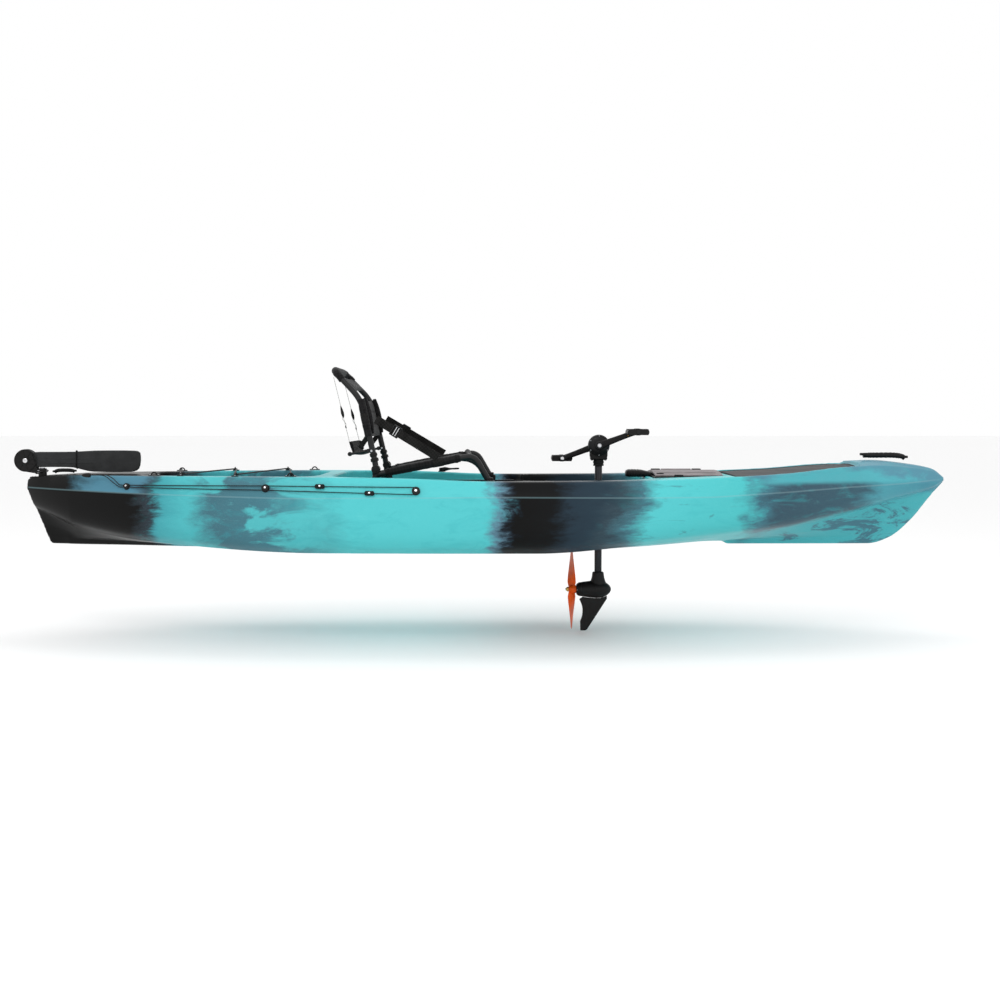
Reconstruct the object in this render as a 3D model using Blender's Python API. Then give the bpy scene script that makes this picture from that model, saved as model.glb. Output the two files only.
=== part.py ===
"""A pedal-drive sit-on-top kayak, modelled as an assembly of its separate pieces.

Metres. +X points to the bow, +Y to port, +Z up. X = 0 is mid length, Y = 0 the
centreline and Z = 0 the flat bottom of the hull.
"""
from math import atan2, cos, pi, radians, sin

import bmesh
import bpy
from mathutils import Matrix, Vector

# Hull
BEAM_END = 1.87
MAX_HALF_BEAM = 0.43
BOW_HALF_WIDTH = 0.008
STERN_HALF_WIDTH = 0.048
WALL = 0.0045
GAP = 0.0003
FACET_TURN = 0.11
STERN_RAKE = 0.345
STERN_PAD = (-1.9, -1.77, 0.283)

# Height of each long line of the hull, as (x, z)
KEEL = ((-1.865, 0.018), (-1.5, 0.012), (-1.1, 0.004), (-0.65, 0.0), (0.2, 0.0), (0.62, 0.012),
        (0.95, 0.030), (0.985, 0.017), (1.56, 0.018), (1.645, 0.044), (1.727, 0.110),
        (1.808, 0.208), (1.865, 0.272))
FIN_DEPTH = ((-1.865, 0.03), (-1.3, 0.015), (-0.8, 0.0), (0.95, 0.0), (0.985, 0.016), (1.3, 0.026),
             (1.6, 0.03), (1.75, 0.02), (1.865, 0.003))
BOTTOM_EDGE = ((-1.865, 0.165), (-1.65, 0.093), (-1.35, 0.043), (-0.65, 0.005), (0.2, 0.005),
               (0.6, 0.034), (0.83, 0.055), (1.17, 0.090), (1.38, 0.130), (1.6, 0.190),
               (1.81, 0.246), (1.865, 0.276))
RIDGE = ((-1.865, 0.248), (-1.4, 0.235), (-0.75, 0.222), (0.05, 0.228), (0.55, 0.225), (0.87, 0.226),
         (1.17, 0.242), (1.42, 0.257), (1.66, 0.266), (1.865, 0.280))
GUNWALE = ((-1.865, 0.283), (-1.80, 0.296), (-1.6, 0.303), (-0.75, 0.304), (-0.35, 0.300),
           (0.05, 0.287), (0.45, 0.289), (0.87, 0.300), (1.17, 0.315), (1.42, 0.338), (1.56, 0.343),
           (1.706, 0.332), (1.81, 0.316), (1.865, 0.284))
CROWN = ((-1.865, 0.0), (0.95, 0.0), (1.2, 0.006), (1.56, 0.016), (1.8, 0.010), (1.865, 0.003))
BOTTOM_SHARE = ((-1.865, 0.55), (-0.65, 0.72), (0.2, 0.72), (0.8, 0.62), (1.4, 0.5), (1.865, 0.5))
STATIONS = (-1.865, -1.83, -1.78, -1.70, -1.58, -1.42, -1.25, -1.05, -0.85, -0.65, -0.45, -0.25,
            -0.05, 0.2, 0.4, 0.62, 0.8, 0.95, 0.985, 1.15, 1.3, 1.42, 1.5, 1.56, 1.61, 1.66, 1.71,
            1.76, 1.81, 1.84, 1.865)

# Wells in the deck: first and last X, floor Z, side margin to the beam, draft of the walls
REAR_WELL = (-1.38, -0.66, 0.14, 0.085, 0.03)
LEDGE_WELL = (-0.605, 0.165, 0.255, 0.080, 0.004)
BOW_WELL = (0.99, 1.46, 0.20, 0.075, 0.02)
FOOT_WELL = (-0.52, 0.645, 0.075)
SEAT_FLOOR_HALF = 0.215
FOOT_FLOOR_HALF = 0.315
CONSOLE_SEAT = (0.66, 0.95, 0.282, 0.20)
HATCH = (0.70, 0.90, 0.155)
HUMP = (0.283, 0.562, 0.066, 0.20)
TRUNK = (0.305, 0.527, 0.046)
SCUPPERS = ((-1.15, 0.07), (-0.80, 0.15), (-0.45, 0.10), (0.15, 0.10))
SCUPPER_R = 0.012

# Pedal drive
CRANK_X = 0.455
CRANK_Z = 0.418
CRANK_LENGTH = 0.155
CRANK_ANGLE = radians(21)
PEDAL_Y = 0.135
POD_Z = -0.172
POD_RADIUS = ((0.3855, 0.029), (0.405, 0.032), (0.440, 0.036), (0.462, 0.0355), (0.482, 0.030),
              (0.498, 0.020), (0.506, 0.010))
BEVEL_TEETH = 30
PINION_TEETH = 6
LOWER_TEETH = 16
PROP_PINION_TEETH = 8
PROP_X = 0.347
PROP_R = 0.165
PROP_PITCH = 0.25

# Rudder
STEER_X = -1.815
PIVOT = (-1.88, 0.3565)
LINE_R = 0.00175
LINE_STANDOFF = 0.0075
GUIDE_AFT_X = -1.401
GUIDE_MID_X = -0.840
PULLEY = (-0.264, 0.251)
PULLEY_R = 0.0135

# Seat
SEAT_HALF = 0.26
SEAT_TUBE_R = 0.0125
SEAT_REAR = (-0.432, 0.309)
SEAT_FRONT = (-0.048, 0.384)
HINGE = (-0.43, 0.33)
BACK_TUBE_R = 0.0115
RACK_HINGE = (-0.4625, 0.401)
RAIL_Y = 0.27
RAIL_Z = (0.2553, 0.265)

BLACK = (0.012, 0.012, 0.013)


# ---------------------------------------------------------------- small tools

def material(name, colour, roughness=0.5, metallic=0.0):
    """Get or make a plain Principled material."""
    found = bpy.data.materials.get(name)
    if found:
        return found
    made = bpy.data.materials.new(name)
    made.use_nodes = True
    shader = made.node_tree.nodes["Principled BSDF"]
    shader.inputs["Base Color"].default_value = (*colour, 1)
    shader.inputs["Roughness"].default_value = roughness
    shader.inputs["Metallic"].default_value = metallic
    return made


def plastic():
    return material("black_plastic", BLACK, 0.45)


def steel():
    return material("stainless_steel", (0.6, 0.6, 0.62), 0.25, 1.0)


def alloy():
    return material("black_alloy", (0.02, 0.02, 0.022), 0.35, 0.6)


def cloth():
    return material("black_mesh", (0.02, 0.02, 0.022), 0.9)


def along(table, x):
    """Smooth value at x through a table of (x, value), without overshoot."""
    if x <= table[0][0]:
        return table[0][1]
    if x >= table[-1][0]:
        return table[-1][1]
    slopes = [(b[1] - a[1]) / (b[0] - a[0]) for a, b in zip(table, table[1:])]
    at = next(i for i in range(len(slopes)) if x <= table[i + 1][0])

    def tangent(i):
        if i == 0 or i == len(slopes):
            return slopes[min(i, len(slopes) - 1)]
        before, after = slopes[i - 1], slopes[i]
        return 0.0 if before * after <= 0 else 2 * before * after / (before + after)

    (x0, v0), (x1, v1) = table[at], table[at + 1]
    step = x1 - x0
    t = (x - x0) / step
    return (v0 * (1 + 2 * t) * (1 - t) ** 2 + step * tangent(at) * t * (1 - t) ** 2
            + v1 * t * t * (3 - 2 * t) + step * tangent(at + 1) * t * t * (t - 1))


def mesh_object(name, verts, faces, finish, smooth=30):
    """One closed object from points and faces, its faces turned outwards."""
    mesh = bpy.data.meshes.new(name)
    mesh.from_pydata([tuple(v) for v in verts], [], faces)
    shape = bmesh.new()
    shape.from_mesh(mesh)
    bmesh.ops.recalc_face_normals(shape, faces=shape.faces)
    shape.to_mesh(mesh)
    shape.free()
    mesh.shade_smooth()
    mesh.set_sharp_from_angle(angle=radians(smooth))
    mesh.materials.append(finish)
    made = bpy.data.objects.new(name, mesh)
    bpy.context.scene.collection.objects.link(made)
    return made


def loft(name, rings, finish, closed=False, smooth=30):
    """Closed body through rings of the same number of points."""
    count = len(rings[0])
    verts = [point for ring in rings for point in ring]
    faces = []
    spans = len(rings) if closed else len(rings) - 1
    for i in range(spans):
        a, b = i * count, (i + 1) % len(rings) * count
        for k in range(count):
            n = (k + 1) % count
            faces.append((a + k, a + n, b + n, b + k))
    if not closed:
        faces.append(tuple(range(count)))
        faces.append(tuple(range((len(rings) - 1) * count, len(rings) * count)))
    return mesh_object(name, verts, faces, finish, smooth)


AXES = {"X": Matrix(((0, 0, 1), (0, 1, 0), (-1, 0, 0))), "Y": Matrix(((1, 0, 0), (0, 0, 1), (0, -1, 0))),
        "Z": Matrix.Identity(3)}


def turned(name, profile, axis, centre, finish, steps=24, phase=0.0):
    """Revolve an outline of (radius, distance along the axis) round an axis.

    An outline that starts and ends on the axis makes a full body, any other a ring.
    """
    frame = AXES[axis] if isinstance(axis, str) else Vector(axis).to_track_quat("Z", "Y").to_matrix()

    def place(r, z, turn):
        return frame @ Vector((r * cos(turn), r * sin(turn), z)) + Vector(centre)

    turns = [2 * pi * i / steps + phase for i in range(steps)]
    if profile[0][0] > 0:
        return loft(name, [[place(r, z, turn) for r, z in profile] for turn in turns], finish, closed=True)
    inner = profile[1:-1]
    verts = [place(r, z, turn) for r, z in inner for turn in turns]
    verts += [place(0, profile[0][1], 0), place(0, profile[-1][1], 0)]
    faces = []
    for i in range(steps):
        n = (i + 1) % steps
        for k in range(len(inner) - 1):
            a, b = k * steps, (k + 1) * steps
            faces.append((a + i, a + n, b + n, b + i))
        last = (len(inner) - 1) * steps
        faces.append((len(verts) - 2, n, i))
        faces.append((len(verts) - 1, last + i, last + n))
    return mesh_object(name, verts, faces, finish)


def rod(name, start, end, radius, finish, steps=16):
    """Plain round rod between two points, turned a little so that no facet lines up with its neighbour's."""
    start, end = Vector(start), Vector(end)
    turn = (end - start).to_track_quat("Z", "Y").to_matrix()
    angles = [2 * pi * i / steps + FACET_TURN for i in range(steps)]
    rings = [[point + turn @ Vector((radius * cos(a), radius * sin(a), 0)) for a in angles]
             for point in (start, end)]
    return loft(name, rings, finish)


def sleeve(name, start, end, outer, inner, finish, steps=20):
    """Round tube with a bore, between two points."""
    start, end = Vector(start), Vector(end)
    turn = (end - start).to_track_quat("Z", "Y").to_matrix()
    outline = ((outer, start), (outer, end), (inner, end), (inner, start))
    rings = [[place + turn @ Vector((r * cos(2 * pi * i / steps), r * sin(2 * pi * i / steps), 0))
              for r, place in outline] for i in range(steps)]
    return loft(name, rings, finish, closed=True)


def sweep(name, path, radius, finish, sides=10):
    """Round tube along a path of points, with closed ends."""
    path = [Vector(p) for p in path]
    rings = []
    side = None
    for i, point in enumerate(path):
        ahead = (path[min(i + 1, len(path) - 1)] - path[max(i - 1, 0)]).normalized()
        if side is None:
            side = ahead.orthogonal().normalized()
        side = (side - ahead * side.dot(ahead)).normalized()
        up = ahead.cross(side)
        rings.append([point + radius * (side * cos(2 * pi * k / sides) + up * sin(2 * pi * k / sides))
                      for k in range(sides)])
    return loft(name, rings, finish)


def curved(points, steps=6):
    """Points of a smooth curve through hand-set points."""
    points = [Vector(p) for p in points]
    full = [2 * points[0] - points[1], *points, 2 * points[-1] - points[-2]]
    path = []
    for a, b, c, d in zip(full, full[1:], full[2:], full[3:]):
        for i in range(steps):
            t = i / steps
            path.append(0.5 * (2 * b + (c - a) * t + (2 * a - 5 * b + 4 * c - d) * t ** 2
                               + (3 * b - a - 3 * c + d) * t ** 3))
    return path + [points[-1]]


def bent(points, radius, steps=4):
    """Straight runs joined by round bends, as a bent tube has them."""
    points = [Vector(p) for p in points]
    path = [points[0]]
    for a, b, c in zip(points, points[1:], points[2:]):
        back, ahead = (a - b), (c - b)
        reach = min(radius, back.length * 0.45, ahead.length * 0.45)
        first, last = b + back.normalized() * reach, b + ahead.normalized() * reach
        for i in range(steps + 1):
            t = i / steps
            path.append(first * (1 - t) ** 2 + b * 2 * t * (1 - t) + last * t * t)
    return path + [points[-1]]


def plate(name, outline, low, high, finish, plane="XZ", smooth=30):
    """Flat plate: an outline in one plane, between two distances across it."""
    def place(a, b, across):
        return {"XZ": (a, across, b), "XY": (a, b, across), "YZ": (across, a, b)}[plane]
    return loft(name, [[place(a, b, across) for a, b in outline] for across in (low, high)], finish,
                smooth=smooth)


def block(name, low, high, finish, bevel=0.0):
    """Rectangular block between two corners, with an optional bevel."""
    outline = ((low[0], low[1]), (high[0], low[1]), (high[0], high[1]), (low[0], high[1]))
    made = plate(name, outline, low[2], high[2], finish, "XY")
    if bevel:
        edge = made.modifiers.new("bevel", "BEVEL")
        edge.width = bevel
        edge.segments = 2
    return made


def hide(tool):
    tool.hide_render = True
    tool.display_type = "WIRE"


def combine(target, operation, tools):
    for tool in tools:
        step = target.modifiers.new(operation.lower(), "BOOLEAN")
        step.operation = operation
        step.solver = "EXACT"
        step.object = tool
        hide(tool)
    return target


def fuse(target, *tools):
    return combine(target, "UNION", tools)


def cut(target, *tools):
    return combine(target, "DIFFERENCE", tools)


def arc(centre, radius, start, end, steps):
    """Points (a, b) of an arc, from one angle to another, in degrees."""
    angles = [radians(start + (end - start) * i / steps) for i in range(steps + 1)]
    return [(centre[0] + radius * cos(t), centre[1] + radius * sin(t)) for t in angles]


# ---------------------------------------------------------------- hull

def half_beam(x):
    end = STERN_HALF_WIDTH if x < 0 else BOW_HALF_WIDTH
    return end + (MAX_HALF_BEAM - end) * (1 - (abs(x) / BEAM_END) ** 2.6) ** 0.9


def deck_height(x):
    return along(GUNWALE, x)


def hull_section(x, inset=0.0):
    """Points (y, z) of the port half, from the keel up to the middle of the deck."""
    beam = half_beam(x) - inset
    keel = along(KEEL, x)
    shoulder = keel + along(FIN_DEPTH, x) + inset
    edge_z = along(BOTTOM_EDGE, x) + inset * 0.6
    edge_y = along(BOTTOM_SHARE, x) * beam
    ridge = along(RIDGE, x)
    top = deck_height(x) - inset
    narrow = min(1.0, beam / 0.12)
    shoulder_y = min(0.03, edge_y * 0.4)
    keel_y = 0.4 * shoulder_y
    middle_z = shoulder + max(0.0, edge_z - 0.006 - inset - shoulder) * 0.45
    points = [(0, shoulder if inset else keel)]
    if not inset:
        points.append((keel_y, keel))
    points += [
        (shoulder_y, shoulder),
        (edge_y * 0.6, middle_z),
        (edge_y, edge_z),
        (edge_y + (beam - edge_y) * 0.52, edge_z + (ridge - edge_z) * 0.16),
        (edge_y + (beam - edge_y) * 0.82, edge_z + (ridge - edge_z) * 0.45),
        (beam, ridge),
        (beam - 0.029 * narrow, top - 0.010 * narrow),
        (beam - 0.044 * narrow, top),
        (beam * 0.5, top + along(CROWN, x) * 0.7),
        (0, top + along(CROWN, x)),
    ]
    return points


def hull_ring(x, inset=0.0):
    """Whole section at x as 3-D points; the stern leans forward towards the keel."""
    half = hull_section(x, inset)
    lean = STERN_RAKE * max(0.0, min(1.0, (-1.66 - x) / 0.205))
    both = half + [(-y, z) for y, z in reversed(half[1:-1])]
    return [Vector((x + lean * max(0.0, 0.25 - z), y, z)) for y, z in both]


def well(name, spec, grow=0.0, points=10):
    """Cutter of a deck well whose sides follow the beam, with round ends and sloping walls."""
    x0, x1, floor, margin, draft = spec
    rings = []
    for z, shrink in ((floor - grow, draft), (floor + 0.5 * (0.31 - floor), draft * 0.4), (0.45, 0)):
        low, high = x0 + shrink - grow, x1 - shrink + grow
        side = []
        for i in range(points + 1):
            t = i / points
            x = low + (high - low) * (0.5 - 0.5 * cos(pi * t))
            bulge = (1 - abs(1 - cos(pi * t) - 1) ** 7) ** (1 / 7)
            side.append((x, bulge * (half_beam(x) - margin - shrink + grow)))
        ring = side + [(x, -y) for x, y in reversed(side[1:-1])]
        rings.append([(x, y, z) for x, y in ring])
    return loft(name, rings, plastic())


def foot_well(name, grow=0.0):
    """Cutter of the cockpit: narrow between the seat ledges and wide at the feet."""
    x0, x1, floor = FOOT_WELL
    rings = []
    for z, shrink in ((floor - grow, 0.014), (0.45, 0.0)):
        low, high = x0 + shrink - grow, x1 - shrink + grow
        narrow = SEAT_FLOOR_HALF - shrink + grow
        wide = FOOT_FLOOR_HALF - shrink + grow
        side = [(low, narrow - 0.05), (low + 0.05, narrow), (0.05, narrow), (0.09, narrow + 0.02),
                (0.145, wide - 0.02), (0.19, wide), (0.42, wide - 0.006), (high - 0.06, wide - 0.035),
                (high, wide - 0.09)]
        rings.append([(x, y, z) for x, y in side] + [(x, -y, z) for x, y in reversed(side)])
    return loft(name, rings, plastic())


def hump(name, grow=0.0):
    x0, x1, half, top = HUMP
    return block(name, (x0 - grow, -half - grow, -0.05), (x1 + grow, half + grow, top - grow), plastic())


def make_hull():
    """The hollow shell: outer form less its wells, its hollow and its through holes."""
    rings = [hull_ring(x) for x in STATIONS]
    finish = material("turquoise_plastic", (0.10, 0.60, 0.62), 0.35)
    hull = loft("hull", rings, finish, smooth=24)

    core_from, core_to = -1.74, 1.66
    inner = [core_from] + [x for x in STATIONS[3:-5] if core_from < x < core_to] + [core_to]
    core = loft("hull_hollow", [hull_ring(x, WALL) for x in inner], plastic())
    floor_well = foot_well("foot_well_tool")
    cut(floor_well, hump("hump_tool"))
    grown_well = foot_well("foot_well_wall", WALL)
    cut(core, well("rear_well_wall", REAR_WELL, WALL), well("ledge_well_wall", LEDGE_WELL, WALL),
        well("bow_well_wall", BOW_WELL, WALL), grown_well, hump("hump_wall", -WALL * 0.1))
    x0, x1, z, half = CONSOLE_SEAT
    cut(core, block("console_wall", (x0 - WALL, -half - WALL, z - WALL), (x1 + WALL, half + WALL, 0.45),
                    plastic()))
    cut(core, rod("drain_wall", (-1.50, 0.09, 0.27), (-1.50, 0.09, 0.35), 0.028, plastic()))
    for i, (sx, sy) in enumerate(SCUPPERS):
        for side in (-1, 1):
            cut(core, rod(f"scupper_wall_{i}_{side}", (sx, side * sy, -0.02), (sx, side * sy, 0.2),
                          SCUPPER_R + WALL, plastic(), 12))

    cut(hull, well("rear_well", REAR_WELL), well("ledge_well", LEDGE_WELL), well("bow_well", BOW_WELL),
        floor_well)
    cut(hull, block("console_seat", (x0, -half, z), (x1, half, 0.45), plastic()))
    cut(hull, core)
    cut(hull, block("trunk_slot", (TRUNK[0], -TRUNK[2], -0.05), (TRUNK[1], TRUNK[2], 0.45), plastic()))
    cut(hull, block("hatch_hole", (HATCH[0], -HATCH[2], 0.26), (HATCH[1], HATCH[2], 0.45), plastic()))
    cut(hull, block("stern_pad", (STERN_PAD[0], -0.032, STERN_PAD[2]), (STERN_PAD[1], 0.032, 0.4),
                    plastic()))
    cut(hull, turned("drain_hole", ((0, 0.28), (0.0125, 0.28), (0.0125, 0.2945), (0.021, 0.2945),
                                    (0.021, 0.35), (0, 0.35)), "Z", (-1.50, 0.09, 0), plastic(), 16))
    for i, (sx, sy) in enumerate(SCUPPERS):
        for side in (-1, 1):
            cut(hull, rod(f"scupper_{i}_{side}", (sx, side * sy, -0.03), (sx, side * sy, 0.25), SCUPPER_R,
                          plastic(), 12))


def make_trunk_flange():
    """Rim ring that the drive's plate rests on."""
    x0, x1, half, top = HUMP
    inset = 0.004
    outer = block("trunk_flange", (x0 + inset, inset - half, top + GAP),
                  (x1 - inset, half - inset, top + 0.005), plastic(), 0.001)
    cut(outer, block("flange_hole", (TRUNK[0], -TRUNK[2], 0.1), (TRUNK[1], TRUNK[2], 0.3), plastic()))


def make_drain_plug():
    turned("drain_plug", ((0, 0.284), (0.0118, 0.284), (0.0118, 0.2948), (0.020, 0.2948), (0.020, 0.298),
                          (0.017, 0.3005), (0, 0.3005)), "Z", (-1.50, 0.09, 0), plastic(), 16)


def make_seat_rails():
    """Slotted rails that the seat's feet clamp to."""
    for side, word in ((1, "port"), (-1, "starboard")):
        low, high = RAIL_Z
        outline = [(-0.016, low), (0.016, low), (0.016, high), (0.005, high), (0.005, high - 0.006),
                   (-0.005, high - 0.006), (-0.005, high), (-0.016, high)]
        outline = [(side * RAIL_Y + y, z) for y, z in outline]
        plate(f"seat_rail_{word}", outline, -0.548, 0.115, alloy(), "YZ")


def make_handle(name, x0, z0, x1, z1, top, radius):
    """Arched carry handle that stands on two feet."""
    rise = (x1 - x0) * 0.2
    path = curved([(x0, 0, z0), (x0 + rise * 0.4, 0, z0 + 0.65 * (top - z0)), (x0 + rise * 1.5, 0, top),
                   (x1 - rise * 1.5, 0, top), (x1 - rise * 0.4, 0, z1 + 0.65 * (top - z1)), (x1, 0, z1)], 3)
    sweep(name, path, radius, plastic(), 8)


def make_deck_eyes():
    """Pad eyes at the corners of the rear well, each a base and an arch in one moulding."""
    for number, (x, side) in enumerate(((-1.30, 1), (-1.30, -1), (-0.75, 1), (-0.75, -1)), 1):
        y = side * (half_beam(x) - 0.060)
        z = deck_height(x) + 0.0012
        base = block(f"deck_eye_{number}", (x - 0.022, y - 0.008, z), (x + 0.022, y + 0.008, z + 0.003),
                     plastic())
        path = [(x + a, y, z + 0.0012 + b) for a, b in arc((0, 0), 0.011, 0, 180, 8)]
        fuse(base, sweep(f"deck_eye_arch_{number}", path, 0.0025, plastic(), 6))


def bungee_path():
    """Zigzag of the elastic cord over the rear well, from side to side."""
    xs = [-1.30 + 0.55 * i / 5 for i in range(6)]
    corners = []
    for i, x in enumerate(xs):
        side = 1 if i % 2 == 0 else -1
        reach = half_beam(x) - (0.085 if 0 < i < 5 else 0.077)
        corners.append((x, side * reach, deck_height(x) + 0.008))
    path = []
    for a, b in zip(corners, corners[1:]):
        steps = 4
        path += [Vector(a).lerp(Vector(b), i / steps) for i in range(steps)]
    return path + [Vector(corners[-1])]


def cord(name, path, radius, finish, resolution=1):
    """Round cord as a bevelled curve with closed ends."""
    data = bpy.data.curves.new(name, "CURVE")
    data.dimensions = "3D"
    data.bevel_depth = radius
    data.bevel_resolution = resolution
    data.use_fill_caps = True
    data.render_resolution_u = 0
    spline = data.splines.new("POLY")
    spline.points.add(len(path) - 1)
    for point, place in zip(spline.points, path):
        point.co = (*place, 1)
    data.materials.append(finish)
    made = bpy.data.objects.new(name, data)
    bpy.context.scene.collection.objects.link(made)
    return made


def make_bow_cover():
    """Stretched cover over the bow well, a thin crowned panel on the rims."""
    rings = []
    steps = 8
    for i in range(10):
        x = 0.965 + (1.480 - 0.965) * i / 9
        half = (half_beam(x) - 0.052) * (0.94 if i in (0, 9) else 1.0)
        rim = max(deck_height(x), deck_height(x + 0.01)) + along(CROWN, x) + 0.0015
        across = [(-half + 2 * half * k / steps) for k in range(steps + 1)]
        ring = [(x, y, rim + 0.003 + 0.004 * (1 - (y / half) ** 2)) for y in across]
        ring += [(x, y, rim) for y in reversed(across)]
        rings.append(ring)
    loft("bow_mesh_cover", rings, cloth())


# ---------------------------------------------------------------- console

def make_console():
    """Black console body with an open bin, a tongue towards the drive and hinge lugs."""
    x0, x1, z, half = CONSOLE_SEAT
    inset = 0.003
    body = block("console_body", (x0 + inset, -half + inset, z + GAP), (x1 - inset, half - inset, 0.298),
                 plastic(), 0.002)
    tongue = plate("console_tongue", [(0.578, 0.2955), (0.590, 0.3025), (0.668, 0.3025), (0.668, 0.2955)],
                   -0.052, 0.052, plastic())
    bin_shape = block("console_bin", (HATCH[0] + 0.004, -0.15, 0.165), (HATCH[1] - 0.004, 0.15, 0.29),
                      plastic())
    fuse(body, tongue, bin_shape)
    for i, (a, b) in enumerate(((0.69, 0.728), (0.862, 0.90))):
        fuse(body, block(f"console_lug_{i}", (a, 0.180, 0.292), (b, 0.1965, 0.3165), plastic()))
    cut(body, block("console_hollow", (HATCH[0] + 0.007, -0.147, 0.168), (HATCH[1] - 0.007, 0.147, 0.35),
                    plastic()))
    cut(body, rod("console_lug_bore", (0.66, 0.1885, 0.3095), (0.93, 0.1885, 0.3095), 0.0034, plastic(), 12))
    rod("console_hinge_pin", (0.687, 0.1885, 0.3095), (0.903, 0.1885, 0.3095), 0.003, steel(), 12)


def make_console_lid():
    """Domed lid with the barrel that turns on the hinge pin."""
    half, thick, steps = 0.178, 0.004, 10
    ys = [-half + 2 * half * k / steps for k in range(steps + 1)]

    def ring(x, drop):
        def crest(y):
            return 0.2995 + (0.0145 - drop) * (1 - (y / half) ** 2)

        return [(x, y, crest(y) + thick - drop) for y in ys] + [(x, y, crest(y)) for y in reversed(ys)]

    rings = [ring(0.668, 0.002), ring(0.675, 0.0), ring(0.93, 0.0), ring(0.937, 0.002)]
    grey = material("grey_plastic", (0.27, 0.25, 0.255), 0.5)
    lid = loft("console_lid", rings, grey)
    fuse(lid, rod("lid_barrel", (0.732, 0.1885, 0.3095), (0.858, 0.1885, 0.3095), 0.0068, grey, 14),
         block("lid_web", (0.735, 0.170, 0.3015), (0.855, 0.1885, 0.3055), grey))
    cut(lid, rod("lid_bore", (0.7, 0.1885, 0.3095), (0.9, 0.1885, 0.3095), 0.0034, grey, 12))


# ---------------------------------------------------------------- pedal drive

def crown_teeth(name, teeth, inner, outer, back, tip, root, axis, centre, finish, phase, bore):
    """Face gear: a ring whose face rises and falls once for each tooth."""
    rings = []
    for i in range(teeth * 2):
        turn = pi * i / teeth + phase
        height = tip if i % 2 == 0 else root
        profile = ((bore, back), (outer, back), (outer, height), (inner, height), (inner - 0.0006, root),
                   (bore, root))
        rings.append([AXES[axis] @ Vector((r * cos(turn), r * sin(turn), z)) + Vector(centre)
                      for r, z in profile])
    return loft(name, rings, finish, closed=True)


def star(teeth, root, tip):
    """Outline of a small pinion, with a tooth pointing along its first axis."""
    return [((tip if i % 2 == 0 else root) * cos(pi * i / teeth),
             (tip if i % 2 == 0 else root) * sin(pi * i / teeth)) for i in range(teeth * 2)]


def make_gearbox():
    """Round top housing on its base, hollow for the bevel gears, with a cover on its starboard side."""
    centre = (CRANK_X, 0, CRANK_Z)
    housing = turned("gearbox_housing", ((0.0088, -0.026), (0.043, -0.026), (0.043, 0.018), (0.038, 0.024),
                                         (0.0088, 0.024)), "Y", centre, plastic(), 24)
    fuse(housing, block("gearbox_base", (CRANK_X - 0.034, -0.026, 0.359), (CRANK_X + 0.034, 0.0235, 0.392),
                        plastic(), 0.003),
         rod("gearbox_collar", (CRANK_X, 0, 0.3345), (CRANK_X, 0, 0.3605), 0.0215, plastic(), 24))
    cut(housing, turned("gearbox_hollow", ((0, -0.05), (0.0385, -0.05), (0.0385, 0.0155), (0, 0.0155)),
                        "Y", centre, plastic(), 24),
        rod("gearbox_shaft_bore", (CRANK_X, 0, 0.30), (CRANK_X, 0, 0.40), 0.0078, plastic()),
        rod("gearbox_column_seat", (CRANK_X, 0, 0.32), (CRANK_X, 0, 0.3505), 0.0153, plastic(), 20))
    turned("gearbox_cover", ((0.0088, -0.0305), (0.036, -0.0305), (0.041, -0.0265), (0.041, -0.0263),
                             (0.0088, -0.0263)), "Y", centre, plastic(), 24)


def make_column():
    """Tube that carries the shaft down through the trunk."""
    sleeve("drive_column", (CRANK_X, 0, -0.1205), (CRANK_X, 0, 0.350), 0.015, 0.0105, alloy())
    low = HUMP[3] + 0.0053
    foot = block("mount_plate", (0.289, -0.060, low), (0.552, 0.060, low + 0.011), plastic(), 0.003)
    fuse(foot, rod("mount_socket", (CRANK_X, 0, low + 0.005), (CRANK_X, 0, low + 0.060), 0.023,
                   plastic(), 20),
         block("mount_neck", (CRANK_X - 0.10, -0.010, low + 0.005), (CRANK_X, 0.010, low + 0.022),
               plastic(), 0.002),
         block("mount_spigot", (TRUNK[0] + 0.004, -TRUNK[2] + 0.004, low - 0.03),
               (TRUNK[1] - 0.004, TRUNK[2] - 0.004, low + 0.005), plastic()))
    cut(foot, rod("mount_bore", (CRANK_X, 0, 0.1), (CRANK_X, 0, 0.4), 0.0153, plastic(), 20))


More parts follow.
